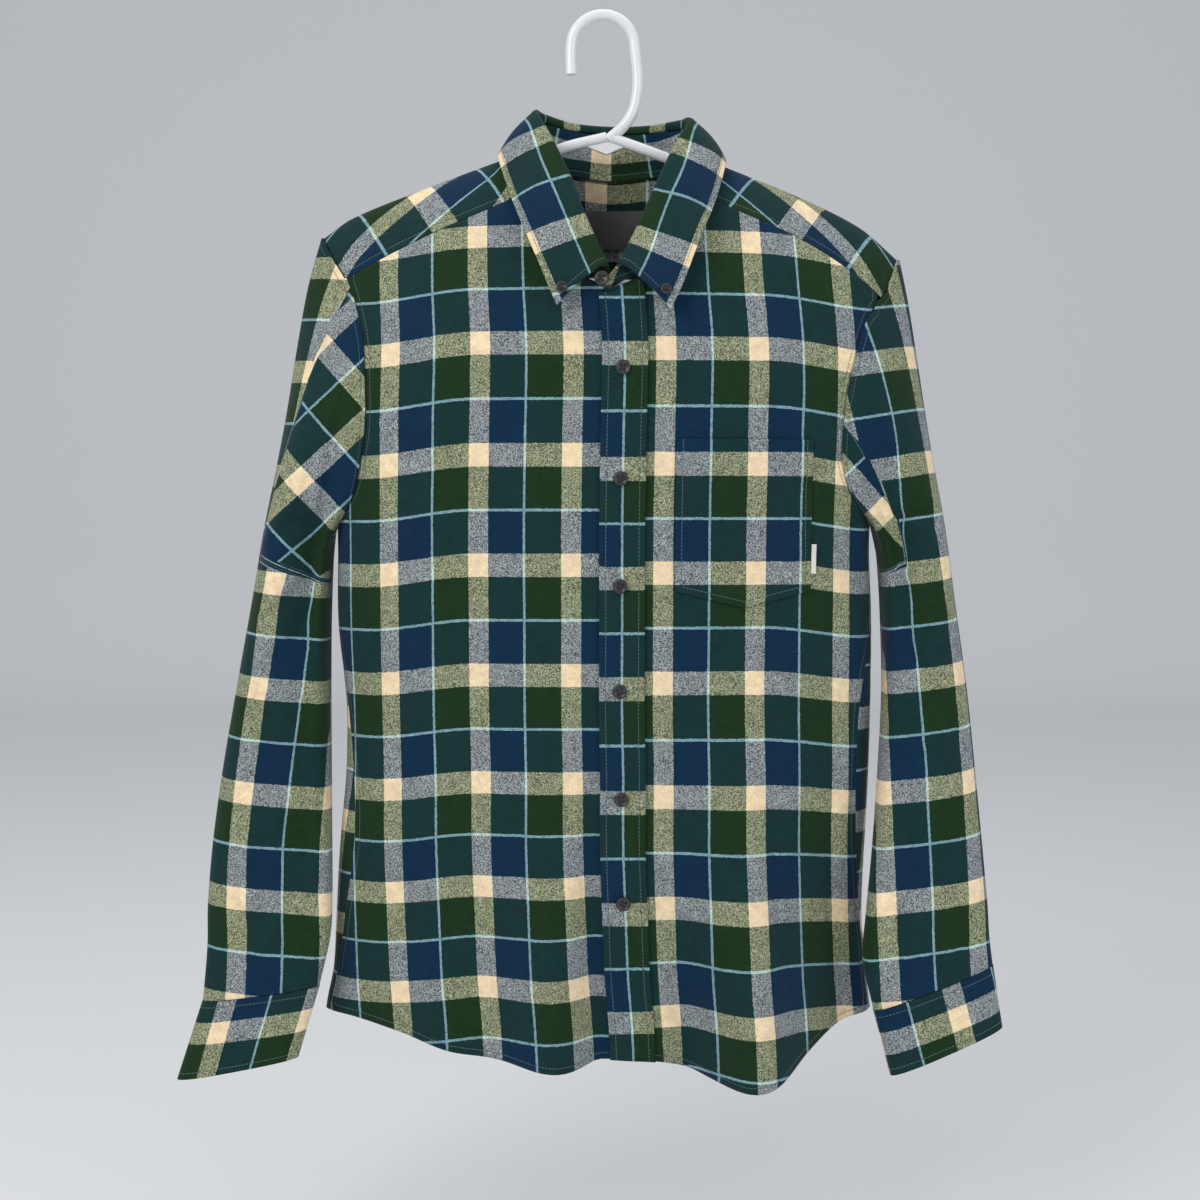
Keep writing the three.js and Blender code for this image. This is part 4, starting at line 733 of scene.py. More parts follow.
# sleeves: outer and inner edge seen from the front, level and depths in y, share of the armhole's own
# shape that is left, and the trough in front, at stations from the armhole to the cuff
sleeve = {
    "right": table("station ox oz ix iz mid front back armhole trough", [
        (0, -221, -171, -211, -399, 0, 40, 36, 1, 0), (1, -232, -208, -214.8, -403, 0, 42, 40, 0.8, 5),
        (2, -241, -252, -216, -407, 1, 44, 44, 0.58, 11), (3, -249, -298, -216.8, -412, 1, 46, 47, 0.36, 16),
        (4, -258, -346, -217.4, -419, 1, 47, 48, 0.16, 19), (5, -268, -401, -218, -430, 0, 46, 47, 0, 19),
        (6, -278, -457, -219, -471, -2, 42, 43, 0, 14), (7, -290, -521, -219, -529, -5, 36, 38, 0, 8),
        (8, -301, -584, -218, -586, -10, 30, 32, 0, 5), (9, -309, -643, -217, -640, -16, 25, 27, 0, 6),
        (10, -313, -694, -216, -688, -22, 20, 22, 0, 5), (11, -313, -730, -217, -722, -27, 17, 18, 0, 3),
        (12, -316, -772, -225, -760, -32, 13, 13, 0, 0),
    ]),
    "left": table("station ox oz ix iz mid front back armhole trough", [
        (0, 233, -188, 212, -394, 0, 40, 36, 1, 0), (1, 240, -219, 215.8, -398, 0, 42, 40, 0.8, 6),
        (2, 247, -257, 217, -402, 1, 44, 44, 0.58, 12), (3, 254, -298, 218.4, -408, 1, 46, 47, 0.36, 17),
        (4, 261, -343, 220, -416, 0, 47, 47, 0.16, 20), (5, 270, -399, 221.4, -428, -1, 46, 45, 0, 18),
        (6, 278, -457, 223, -468, -5, 42, 40, 0, 10), (7, 287, -525, 223, -529, -13, 36, 34, 0, 6),
        (8, 292, -588, 218, -590, -26, 31, 27, 0, 5), (9, 296, -645, 212, -652, -38, 26, 22, 0, 6),
        (10, 299, -690, 206, -702, -47, 21, 18, 0, 5), (11, 300, -716, 203, -735, -52, 17, 15, 0, 3),
        (12, 302, -737, 211, -773, -56, 13, 13, 0, 0),
    ]),
    "stations": 84,
    "lift": 1.7,
    "lap": 0.8,
    "trough angle": 0.36 * math.pi,
    "trough width": 0.45,
    "grain": {"right": -6, "left": 9},  # degrees the rows tilt from level, seen from the front
    "cream centre": {"right": 30, "left": -14.7},
    "cream level": {"right": -300, "left": -300},
    "cap": {
        "right": {"x": 221, "z": -254, "turn": 48, "round": 0.8, "last station": 5.4},
        "left": {"x": 212, "z": -277, "turn": 44, "round": 0.42, "last station": 5.2},
    },
}
# creases of the sleeves: from and to, as share of the way round (0.25 in front, 0.75 behind) and station
sleeveCreases = {
    "right": [
        (0.16, 3.6, 0.34, 5.2, 0.020, -3.4), (0.14, 4.6, 0.36, 6.4, 0.018, 2.6), (0.12, 5.6, 0.34, 7.2, 0.016, -2.6),
        (0.30, 1.2, 0.20, 4.2, 0.022, 2.4), (0.38, 6.4, 0.22, 8.4, 0.018, -2.2), (0.16, 8.2, 0.36, 9.6, 0.018, 2.2),
        (0.14, 9.6, 0.34, 11.0, 0.020, -2.0), (0.24, 10.2, 0.26, 11.9, 0.016, 2.0),
        (0.66, 3.4, 0.84, 5.4, 0.020, -3.0), (0.62, 5.0, 0.82, 7.0, 0.018, 2.4), (0.70, 7.6, 0.78, 10.2, 0.022, -2.0),
    ],
    "left": [
        (0.16, 3.8, 0.36, 5.0, 0.020, -3.4), (0.13, 4.9, 0.34, 6.2, 0.018, 2.4), (0.14, 6.0, 0.36, 7.8, 0.016, -2.6),
        (0.32, 1.0, 0.22, 4.0, 0.022, 2.6), (0.36, 7.2, 0.18, 9.0, 0.018, 2.2), (0.18, 9.0, 0.38, 10.4, 0.018, -2.2),
        (0.20, 10.0, 0.22, 11.8, 0.016, 2.0), (0.32, 10.4, 0.30, 11.9, 0.014, -1.8),
        (0.64, 3.6, 0.82, 5.6, 0.020, -3.0), (0.66, 5.8, 0.84, 7.6, 0.018, 2.4), (0.72, 8.0, 0.76, 10.6, 0.022, -2.0),
    ],
}
creaseScale = 300  # turns shares round and stations into one measure


def armholeLoop(side):
    column = 0 if side == "right" else -1
    frontFoot = front["rows below underarm"] + 2
    backFoot = back["rows below underarm"] + 2
    takes = [
        (frontPoints[side], frontNormals[side], -1, range(frontFoot, frontPoints[side].shape[1] - 2)),
        (yokePoints, yokeNormals, column, range(yokePoints.shape[1] - 1, 0, -1)),
        (backPoints, backNormals, column, range(backPoints.shape[1] - 1, backFoot, -1)),
    ]
    points, normals = [], []
    for source, directions, at, rows in takes:
        for row in rows:
            if source is yokePoints and row == ridgeRow:
                tip = len(points)
            points.append(source[at, row])
            normals.append(directions[at, row])
    return np.array(points), unit(np.array(normals)), tip


def ovalPoint(row, angle):
    power = 2 / sectionPower
    share = 0.5 - 0.5 * np.sign(np.cos(angle)) * np.abs(np.cos(angle)) ** power
    out = np.abs(np.sin(angle)) ** power
    trough = row.get("trough", 0) * np.exp(-(((angle - sleeve["trough angle"]) / sleeve["trough width"]) ** 2))
    return share, np.where(angle < math.pi, row["mid"] - row["front"] * out + trough, row["mid"] + row["back"] * out)


def makeSleeve(side):
    loop, normals, tip = armholeLoop(side)
    away = np.cross(np.roll(loop, -1, axis=0) - np.roll(loop, 1, axis=0), normals)
    away = unit(away * np.sign(np.sum(away * (loop - np.array([0, 0, -500])), axis=1))[:, None])
    seats = loop + normals * sleeve["lift"] - away * sleeve["lap"]
    rows = sleeve[side]
    station = np.linspace(0, 12, sleeve["stations"] + 1)
    station = np.concatenate([station[:-1], [11.97, 12]])
    row = {name: curve(rows, "station", name, station)[None] for name in rows if name != "station"}
    chord = np.array([rows["ox"][0] - rows["ix"][0], rows["oz"][0] - rows["iz"][0]])
    offset = seats[:, [0, 2]] - np.array([rows["ix"][0], rows["iz"][0]])
    length = math.hypot(*chord)
    ownShare = (offset @ chord / length**2)[:, None]
    ownOff = ((offset[:, 1] * chord[0] - offset[:, 0] * chord[1]) / length)[:, None]
    run = np.concatenate([[0], np.cumsum(np.linalg.norm(np.diff(seats, axis=0, append=seats[:1]), axis=1))])
    angle = np.where(np.arange(len(seats)) <= tip, math.pi * run[:-1] / run[tip],
                     math.pi + math.pi * (run[:-1] - run[tip]) / (run[-1] - run[tip]))[:, None]
    ovalShare, ovalY = ovalPoint(row, angle)
    share = mix(ovalShare, ownShare, row["armhole"])
    y = mix(ovalY, seats[:, 1:2], row["armhole"])
    chordX, chordZ = row["ox"] - row["ix"], row["oz"] - row["iz"]
    reach = np.hypot(chordX, chordZ)
    off = ownOff * row["armhole"]
    points = np.stack([row["ix"] + chordX * share - chordZ / reach * off, y,
                       row["iz"] + chordZ * share + chordX / reach * off], axis=-1)
    points[:, 0] = seats
    outward = gridNormals(points, wrapped=True)
    middle = points.mean(axis=0, keepdims=True)
    outward = facing(outward, points, middle)
    lines = [(a * creaseScale, s * 50, b * creaseScale, t * 50, w * creaseScale, d)
             for a, s, b, t, w, d in sleeveCreases[side]]
    around = angle / (2 * math.pi) * creaseScale + 0 * station[None]
    depth = creaseDepth(lines, around, station[None] * 50 + 0 * angle)
    depth *= smooth(station / 1.2) * smooth((12 - station) / 0.5)
    points += outward * depth[..., None]
    points = np.concatenate([points, points[:1]], axis=0)
    # plaid: rows level with the cut, columns counted along the cloth from the outer fold
    grain = math.radians(sleeve["grain"][side])
    x, z = points[..., 0], points[..., 2]
    level = z * math.cos(grain) - x * math.sin(grain)
    crossing = x * math.cos(grain) + z * math.sin(grain)
    dc = np.diff(crossing, axis=0, prepend=crossing[:1])
    dy = np.diff(points[..., 1], axis=0, prepend=points[:1, :, 1])
    stretch = np.clip(np.hypot(dc, dy) / np.maximum(np.abs(dc), 1e-6), 1, 2.2)
    cumulative = np.cumsum(dc * stretch, axis=0)
    cumulative = (cumulative - cumulative[tip]) * sign[side]
    # in front, between the armhole and the trough, the plaid is turned with the slope of the cap
    cap = sleeve["cap"][side]
    round_ = np.concatenate([angle, angle[:1] + 2 * math.pi])
    part = (round_ < cap["round"] * math.pi) & (station[None] < cap["last station"])
    tilt = math.radians(cap["turn"])
    outward = sign[side] * x - cap["x"]
    capLevel = (z - cap["z"]) * math.cos(tilt) - outward * math.sin(tilt)
    capAcross = outward * math.cos(tilt) + (z - cap["z"]) * math.sin(tilt)
    level = np.where(part, sleeve["cream level"][side] + capLevel, level)
    cumulative = sign[side] * np.where(part, capAcross + sign[side] * sleeve["cream centre"][side], cumulative)
    coords = np.stack([acrossPhase(cumulative, sleeve["cream centre"][side]),
                       downPhase(-level, -sleeve["cream level"][side])], axis=-1)
    piece = makeSheet("sleeve" + side.title(), points, coords, cloth["single"], wrapped=True,
                      seam=seamCoords(points, bottom=True))
    settle(piece, ["sleeve_" + side])
    declareSheet(piece)
    return points


cuff = {
    "right": {"ox": -335, "oz": -833, "ix": -241, "iz": -815, "mid": -40, "front": 12, "back": 12},
    "left": {"ox": 309, "oz": -785, "ix": 224, "iz": -823, "mid": -60, "front": 12, "back": 12},
    "columns": 72,
    "rows": 14,
    "cream centre": {"right": 20, "left": 20},
    "cream distance": 26,
}


def makeCuff(side):
    rows, end = sleeve[side], cuff[side]
    top = {name: rows[name][-1] for name in end}
    t = shares(cuff["rows"])[None]
    row = {name: mix(top[name], end[name], t) for name in end}
    angle = np.linspace(0, 2 * math.pi, cuff["columns"] + 1)[:, None]
    share, y = ovalPoint(row, np.minimum(angle, 2 * math.pi - 1e-9))
    points = np.stack([mix(row["ix"], row["ox"], share), y + 0 * share, mix(row["iz"], row["oz"], share)], axis=-1)
    down = unit(np.array([end["ox"] + end["ix"] - top["ox"] - top["ix"], 2 * (end["mid"] - top["mid"]),
                          end["oz"] + end["iz"] - top["oz"] - top["iz"]]))
    start = down * ((cloth["double"] - cloth["single"]) / 2 + cloth["clearance"])
    points = points + start * (1 - t)[..., None]
    outward = facing(gridNormals(points, wrapped=True), points, points.mean(axis=0, keepdims=True))
    along = np.cumsum(np.linalg.norm(np.diff(points, axis=0, prepend=points[:1]), axis=-1), axis=0)
    away = np.cumsum(np.linalg.norm(np.diff(points, axis=1, prepend=points[:, :1]), axis=-1), axis=1)
    coords = np.stack([-acrossPhase(along * -sign[side], cuff["cream centre"][side]),
                       downPhase(away, cuff["cream distance"])], axis=-1)
    piece = makeSheet("cuff" + side.title(), points, coords, cloth["double"], wrapped=True,
                      seam=seamCoords(points, bottom=True, top=True))
    settle(piece, ["cuff_" + side])
    declareSheet(piece)
    return points, outward


cuffPoints, cuffNormals = {}, {}
for side in ("right", "left"):
    makeSleeve(side)
    cuffPoints[side], cuffNormals[side] = makeCuff(side)
print("sleeves and cuffs made")

onCloth = cloth["single"] / 2 + cloth["clearance"]


# strips and patches laid on the front: a grid of distances along the cloth and levels, lifted off it
def layOnFront(u, z, lift):
    points = bodyPoints("front", u, z)
    normals = facing(gridNormals(points), points, np.array([0, 0, -450]))
    return points + normals * lift, normals


placket = {"columns": 12, "rows": 150, "lap": 3, "cream centre": -33.7, "row offset": 4, "top gap": 3.5}
buttonStand = {"columns": 6, "rows": 90}


def makeStrip(name, node, start, end, columns, rows, lift, topGap, thickness, stitched):
    u = mix(start, end, shares(columns, 0.03))
    topX = bodyPoints("front", u, np.full_like(u, -215))[:, 0]
    top = frontTopAt("left", np.maximum(6, topX)) - topGap
    foot = curve(hem["front"], "u", "z", u)
    z = mix(foot[:, None], top[:, None], shares(rows, 0.002)[None])
    u = np.broadcast_to(u[:, None], z.shape)
    points, normals = layOnFront(u, z, lift)
    coords = np.stack([acrossPhase(u, placket["cream centre"]),
                       frontPhase("left", z + placket["row offset"])], axis=-1)
    seam = seamCoords(points, first=True, last=True) if stitched else None
    piece = makeSheet(name, points, coords, thickness, seam=seam)
    settle(piece, [node])
    declareSheet(piece)
    return points, normals


makeStrip("buttonStand", "button_stand", edges["button stand"] + cloth["clearance"],
          edges["placket seam"] - cloth["clearance"], buttonStand["columns"], buttonStand["rows"],
          0, cloth["clearance"], cloth["single"], False)
placketLift = onCloth + cloth["double"] / 2 + cloth["clearance"]
makeStrip("placket", "placket", edges["placket"], edges["placket seam"] + placket["lap"],
          placket["columns"], placket["rows"], placketLift, placket["top gap"], cloth["double"], True)

pocket = {"inner": 42, "outer": 148, "top": -331, "side": -447, "point": -460, "columns": 28, "rows": 30,
          "cream centre": 33, "sag": 1.2}


def makePocket():
    u = mix(pocket["inner"], pocket["outer"], shares(pocket["columns"]))
    middle = (pocket["inner"] + pocket["outer"]) / 2
    foot = mix(pocket["point"], pocket["side"], np.abs(u - middle) / (pocket["outer"] - middle))
    t = shares(pocket["rows"])[None]
    z = mix(foot[:, None], pocket["top"], t)
    u = np.broadcast_to(u[:, None], z.shape)
    # the mouth stands a little off the shirt between its two ends
    open_ = pocket["sag"] * smooth((t - 0.7) / 0.3) * np.sin(math.pi * shares(pocket["columns"]))[:, None]
    points, _ = layOnFront(u, z, (onCloth + cloth["single"] / 2 + cloth["clearance"] / 2 + open_)[..., None])
    coords = np.stack([acrossPhase(u, pocket["cream centre"]), frontPhase("left", z)], axis=-1)
    piece = makeSheet("pocket", points, coords, cloth["single"],
                      seam=seamCoords(points, first=True, last=True, bottom=True))
    settle(piece, ["pocket"])
    declareSheet(piece)


makePocket()

flagMaterial = newMaterial("flag", (0.78, 0.75, 0.67), 0.8)[0]
labelMaterial, labelGraph, labelSurface = newMaterial("label", (0.105, 0.105, 0.108), 0.55)
ribs = labelGraph.node("ShaderNodeTexWave", {"Scale": 900}, bands_direction="Z")
labelPlace = labelGraph.node("ShaderNodeTexCoord")
labelGraph.tree.links.new(labelPlace.outputs["Object"], ribs.inputs["Vector"])
labelBump = labelGraph.node("ShaderNodeBump", {"Height": ribs.outputs[1], "Strength": 0.4, "Distance": 0.0002})
labelGraph.tree.links.new(labelBump.outputs[0], labelSurface.inputs["Normal"])

flag = {"width": 4, "top": -411, "bottom": -434}
u = pocket["outer"] + cloth["clearance"] + flag["width"] * shares(4, 0.1)[:, None]
z = mix(flag["bottom"], flag["top"], shares(8, 0.02))[None]
u, z = np.broadcast_arrays(u, z)
points, _ = layOnFront(u, z, onCloth + cloth["label"] / 2 + cloth["clearance"] / 2)
piece = makeSheet("pocketFlag", points, np.zeros(u.shape + (2,)), cloth["label"], material=flagMaterial)
settle(piece, ["pocket_flag"])

labels = {
    "neckLabel": {"node": "neck_label", "x": (-15, 37), "z": (-172, -143), "layer": 1},
    "sizeTab": {"node": "size_tab", "x": (-3, 23), "z": (-173, -157), "layer": 2},
}
for name, size in labels.items():
    x = mix(*size["x"], shares(14))[:, None]
    z = mix(*size["z"], shares(10))[None]
    x, z = np.broadcast_arrays(x, z)
    points = shoulderPoints(x, ridgeZ(x) - z)
    normals = facing(gridNormals(points), points, np.array([10, 0, -160]))
    lift = onCloth + cloth["label"] / 2 + (size["layer"] * 2 - 1) * cloth["clearance"]
    lift += (size["layer"] - 1) * cloth["label"]
    points = points - normals * lift
    piece = makeSheet(name, points, np.zeros(x.shape + (2,)), cloth["label"], material=labelMaterial,
                      seam=seamCoords(points, top=True))
    settle(piece, [size["node"]])
    declareSheet(piece)
print("placket, pocket and labels made")

# the collar by its turn round the neck: the fold, and the lower edge of the fall
collar = table("turn foldX foldY foldZ edgeX edgeY edgeZ", [
    (-1, 3, -66, -199, -35, -77, -231), (-0.86, -12, -54, -165, -43, -72, -212),
    (-0.7, -26, -41, -128, -58, -59, -176), (-0.55, -40, -26, -97, -71, -38, -143),
    (-0.42, -52, -4, -72, -82, -8, -107), (-0.3, -47, 16, -70, -73, 27, -111),
    (-0.15, -24, 31, -74, -38, 42, -118), (0, 6, 35, -76, 6, 46, -121), (0.15, 36, 31, -76, 52, 42, -119),
    (0.3, 61, 16, -75, 86, 27, -114), (0.42, 68, -4, -78, 96, -8, -110), (0.55, 56, -26, -102, 87, -38, -145),
    (0.7, 42, -41, -133, 74, -59, -178), (0.86, 27, -54, -168, 60, -72, -215), (1, 12, -66, -199, 51, -77, -234),
])
collarShape = {
    "columns": 96,
    "part": 1.4,  # how far the two ends draw apart before they pass
    "roll": {"inner": 1.3, "outer": 1.5, "seam": 6, "shoulder": 2.2},
    "right end": [(5, 1, 3, -2), (10, 2, 6, -5)],
    "left end": [(-5, -2.6, 2, -6), (-11, -3.4, 4, -8)],
    "cream beside edge": -2.5,
    "stand cream": -8,
    "stand cream height": 22,
    "cream turn": {"right": -0.735, "left": 0.765},
}


def neckPoints(turn):
    x = curve(neck, "turn", "x", turn)
    drop = curve(neck, "turn", "drop", turn)
    root = np.sign(drop) * np.sqrt(np.abs(drop))
    across = shoulderPoints(x + 1, drop) - shoulderPoints(x - 1, drop)
    up = shoulderPoints(x, np.sign(root + 0.3) * (root + 0.3) ** 2)
    up = up - shoulderPoints(x, np.sign(root - 0.3) * (root - 0.3) ** 2)
    return shoulderPoints(x, drop), -unit(np.cross(across, up))


def dot(a, b):
    return np.sum(a * b, axis=-1, keepdims=True)


def collarFrames(turn):
    def at(t, part):
        t = np.clip(t, -1, 1)
        return np.stack([curve(collar, "turn", part + axis, t) for axis in "XYZ"], axis=-1)

    fold, edge = at(turn, "fold"), at(turn, "edge")
    run = unit(at(turn + 0.03, "fold") - at(turn - 0.03, "fold"))
    point, normal = neckPoints(turn)
    ahead = unit(neckPoints(turn + 0.01)[0] - neckPoints(turn - 0.01)[0])
    inward = unit(np.cross(normal, ahead))
    inward *= np.where(dot(inward, fold - point) < 0, -1, 1)
    seat = point + normal * (cloth["single"] / 2 + 6 * cloth["clearance"])
    seat = seat + inward * (cloth["double"] / 2 + 3 * cloth["clearance"])
    near = smooth((np.abs(turn) - 0.85) / 0.15)[:, None]
    seat = seat + inward * collarShape["part"] * near
    apart = np.concatenate([0 * near, np.sign(turn)[:, None] * collarShape["part"] * near, 0 * near], axis=1)
    fold, edge, seat = fold - apart, edge - apart, seat - apart

    def level(v):
        return unit(v - run * dot(v, run))

    toStand, toFall = level(seat - fold), level(edge - fold)
    return fold, edge, seat, toStand, toFall, unit(toFall - toStand)


def makeCollar():
    turn = mix(-1, 1, shares(collarShape["columns"], 0.004))
    fold, edge, seat, toStand, toFall, out = collarFrames(turn)
    roll = collarShape["roll"]
    top = fold + toStand * (roll["seam"] + 4 * cloth["clearance"]) - out * roll["inner"]
    t = shares(12)[None, :, None]
    stand = mix(seat[:, None], top[:, None], t)
    ends = {}
    for side, line in (("right end", stand[0]), ("left end", stand[-1])):
        ends[side] = []
        for x, y, bottom, upper in collarShape[side]:
            low = line[0] + np.array([x, y, bottom])
            high = line[-1] + np.array([x, y, upper])
            ends[side].append(mix(low[None], high[None], t[0]))
    stand = np.concatenate([ends["right end"][::-1], stand, ends["left end"]], axis=0)
    along = np.cumsum(np.linalg.norm(np.diff(stand[:, 0], axis=0, prepend=stand[:1, 0]), axis=-1))[:, None]
    away = np.cumsum(np.linalg.norm(np.diff(stand, axis=1, prepend=stand[:, :1]), axis=-1), axis=1)
    behind = along[len(along) // 2]
    coords = np.stack([acrossPhase(away, collarShape["stand cream height"]),
                       downPhase(along - behind + 0 * away, collarShape["stand cream"])], axis=-1)
    piece = makeSheet("collarStand", stand, coords, cloth["double"],
                      seam=seamCoords(stand, first=True, last=True, bottom=True))
    settle(piece, ["collar_stand"])
    declareSheet(piece)

    start = fold + toStand * roll["seam"] - out * roll["inner"]
    inner = fold + toStand * roll["shoulder"] - out * roll["inner"]
    outer = fold + toFall * roll["shoulder"] + out * roll["inner"]
    below = fold + toFall * roll["seam"] + out * roll["outer"]
    rolled = [start, mix(start, inner, 0.6), inner, mix(inner, fold, 0.55) - out * 0.25, fold,
              mix(fold, outer, 0.45) + out * 0.25, outer, mix(outer, below, 0.5)]
    leaf = [mix(below, edge, k) for k in shares(18, 0.02)]
    fall = np.stack(rolled + leaf, axis=1)
    # a soft roll across each leaf, and a slight lift of its edge
    share = np.concatenate([np.zeros(len(rolled)), shares(18, 0.02)])[None, :, None]
    fall = fall + out[:, None] * np.sin(math.pi * share) * 2.2
    # the plaid follows the outer edge of the leaf
    along = np.cumsum(np.linalg.norm(np.diff(edge, axis=0, prepend=edge[:1]), axis=-1))
    creamAt = [np.interp(collarShape["cream turn"][side], turn, along) for side in ("right", "left")]
    heading = unit(collarFrames(np.clip(turn + 0.06, -1, 1))[1] - collarFrames(np.clip(turn - 0.06, -1, 1))[1])
    offset = fall - edge[:, None]
    forward = np.sum(offset * heading[:, None], axis=-1)
    away = np.linalg.norm(offset - forward[..., None] * heading[:, None], axis=-1)
    repeats = round((creamAt[1] - creamAt[0]) / plaid["repeat down"])
    down = (along[:, None] + forward - creamAt[0]) / (creamAt[1] - creamAt[0]) * repeats
    coords = np.stack([acrossPhase(away, collarShape["cream beside edge"]), plaid["cream centre down"] - down], axis=-1)
    piece = makeSheet("collarFall", fall, coords, cloth["double"],
                      seam=seamCoords(fall, first=True, last=True, top=True))
    settle(piece, ["collar_fall"])
    declareSheet(piece)
    return stand, fall


standPoints, fallPoints = makeCollar()
print("collar made")

# buttons: a turned disc with a raised rim, four holes painted as near-black discs of shade, and a cross of thread
buttonShape = {
    "thickness": 2.4,
    "profile": [(0.0, 0.70), (0.56, 0.70), (0.62, 0.78), (0.70, 1.0), (0.84, 1.0), (0.94, 0.92), (1.0, 0.62),
                (1.0, 0.42), (0.92, 0.12), (0.8, 0.0), (0.0, 0.0)],
    "sides": 40,
    "hole": 0.95,
    "hole spacing": 1.55,
    "thread": 0.32,
}
buttonMaterial, buttonGraph, buttonSurface = newMaterial("button", (0.015, 0.016, 0.019), 0.3, coat_weight=0.25)
marble = buttonGraph.node("ShaderNodeTexNoise", {"Scale": 260, "Detail": 3})
marblePlace = buttonGraph.node("ShaderNodeTexCoord")
buttonGraph.tree.links.new(marblePlace.outputs["Object"], marble.inputs["Vector"])
marbled = buttonGraph.blend(marble.outputs[0], (0.006, 0.007, 0.009), (0.035, 0.034, 0.036))
buttonGraph.tree.links.new(marbled, buttonSurface.inputs["Base Color"])
threadMaterial = newMaterial("thread", (0.035, 0.04, 0.045), 0.85)[0]
# painted shade: the holes are not cut; a near-black disc stands for the shade inside each one
holeShadeMaterial = newMaterial("hole", (0.004, 0.004, 0.005), 0.9)[0]


def addDisc(bm, centre, radius, height, material, sides=10):
    ring = bmesh.ops.create_circle(bm, cap_ends=True, radius=radius, segments=sides)["verts"]
    bmesh.ops.translate(bm, verts=ring, vec=(*centre, height))
    for face in {face for vert in ring for face in vert.link_faces}:
        face.material_index = material


def makeButton(name, seat, normal, radius, turn):
    mesh = bpy.data.meshes.new(name)
    bm = bmesh.new()
    verts = [bm.verts.new((r * radius, 0, h * buttonShape["thickness"])) for r, h in buttonShape["profile"]]
    for a, b in zip(verts, verts[1:]):
        bm.edges.new((a, b))
    bmesh.ops.spin(bm, geom=bm.verts[:] + bm.edges[:], axis=(0, 0, 1), cent=(0, 0, 0), angle=2 * math.pi,
                   steps=buttonShape["sides"])
    bmesh.ops.remove_doubles(bm, verts=bm.verts, dist=1e-3)
    bmesh.ops.recalc_face_normals(bm, faces=bm.faces)
    for face in bm.faces:
        face.smooth = True
    dish = 0.70 * buttonShape["thickness"]
    gap = buttonShape["hole spacing"] * radius / 5.7
    # painted shade: a near-black disc just above the dish over each hole
    for x in (-1, 1):
        for y in (-1, 1):
            addDisc(bm, (x * gap, y * gap), buttonShape["hole"] * radius / 5.7, dish + 0.03, 2)
    for across in (0, 1):
        stitch = bmesh.ops.create_cone(bm, cap_ends=True, segments=6, radius1=buttonShape["thread"],
                                       radius2=buttonShape["thread"], depth=2.9 * gap)["verts"]
        bmesh.ops.rotate(bm, verts=stitch, matrix=Vector((0, 0, 1)).rotation_difference(
            Vector((1, 1 if across else -1, 0))).to_matrix())
        bmesh.ops.translate(bm, verts=stitch, vec=(0, 0, dish + 0.3 + 0.35 * across))
        for face in {face for vert in stitch for face in vert.link_faces}:
            face.material_index = 1
            face.smooth = True
    normal = Vector(normal).normalized()
    spin = Vector((0, 0, 1)).rotation_difference(normal).to_matrix()
    for vert in bm.verts:
        co = vert.co.copy()
        co.xy = (co.x * math.cos(turn) - co.y * math.sin(turn), co.x * math.sin(turn) + co.y * math.cos(turn))
        vert.co = (spin @ co + Vector(seat) + normal * cloth["clearance"]) * mm
    bm.to_mesh(mesh)
    bm.free()
    mesh.set_sharp_from_angle(angle=math.radians(50))
    piece = bpy.data.objects.new(name, mesh)
    bpy.context.scene.collection.objects.link(piece)
    for material in (buttonMaterial, threadMaterial, holeShadeMaterial):
        mesh.materials.append(material)
    return piece


# the point of a sheet nearest to a place seen from the front, with the normal towards the viewer
def seatOn(points, x, z, thickness):
    normals = gridNormals(points)
    away = np.hypot(points[..., 0] - x, points[..., 2] - z) + np.where(points[..., 1] > 0, 1000, 0)
    i, j = np.unravel_index(away.argmin(), away.shape)
    normal = normals[i, j] * (-1 if normals[i, j, 1] > 0 else 1)
    seat = np.array([x, points[i, j, 1], z])
    return seat + normal * (thickness / 2 + cloth["clearance"] / 2), normal


buttons = {
    "radius": 5.7,
    "small radius": 4.4,
    "front levels": [-277, -361, -443, -524, -608, -691],
    "points": {"right": (-31, -218), "left": (47, -220)},
    "shank": 1.2,
}


def makeButtons():
    made = []
    for k, z in enumerate(buttons["front levels"]):
        grid, normals = layOnFront(*np.meshgrid([-1.0, 0.0, 1.0], [z - 1.0, z, z + 1.0], indexing="ij"),
                                   placketLift + cloth["double"] / 2)
        made.append((f"button{k + 1}", f"button_{k + 1}", grid[1, 1], normals[1, 1], buttons["radius"]))
    for side, (x, z) in buttons["points"].items():
        seat, normal = seatOn(fallPoints, x, z, cloth["double"])
        made.append((f"pointButton{side.title()}", f"button_point_{side}", seat, normal, buttons["small radius"]))
    lap = (standPoints[-1] + standPoints[-2]) / 2
    normal = np.array([-0.1, -1, 0.05]) / np.linalg.norm([-0.1, -1, 0.05])
    seat = lap[len(lap) // 2] + normal * (cloth["double"] / 2 + buttons["shank"])
    made.append(("standButton", "button_stand_top", seat, normal, buttons["radius"]))
    for side in ("right", "left"):
        column = round(cuff["columns"] * 15 / 22)
        row = len(cuffPoints[side][0]) // 2
        seat, normal = cuffPoints[side][column, row], cuffNormals[side][column, row]
        made.append((f"cuffButton{side.title()}", f"button_cuff_{side}",
                     seat + normal * (cloth["double"] / 2 + cloth["clearance"] / 2), normal, buttons["radius"]))
    for k, (name, node, seat, normal, radius) in enumerate(made):
        settle(makeButton(name, seat, normal, radius, 0.35 * math.sin(2.3 * k)), [node])


makeButtons()
print("buttons made")

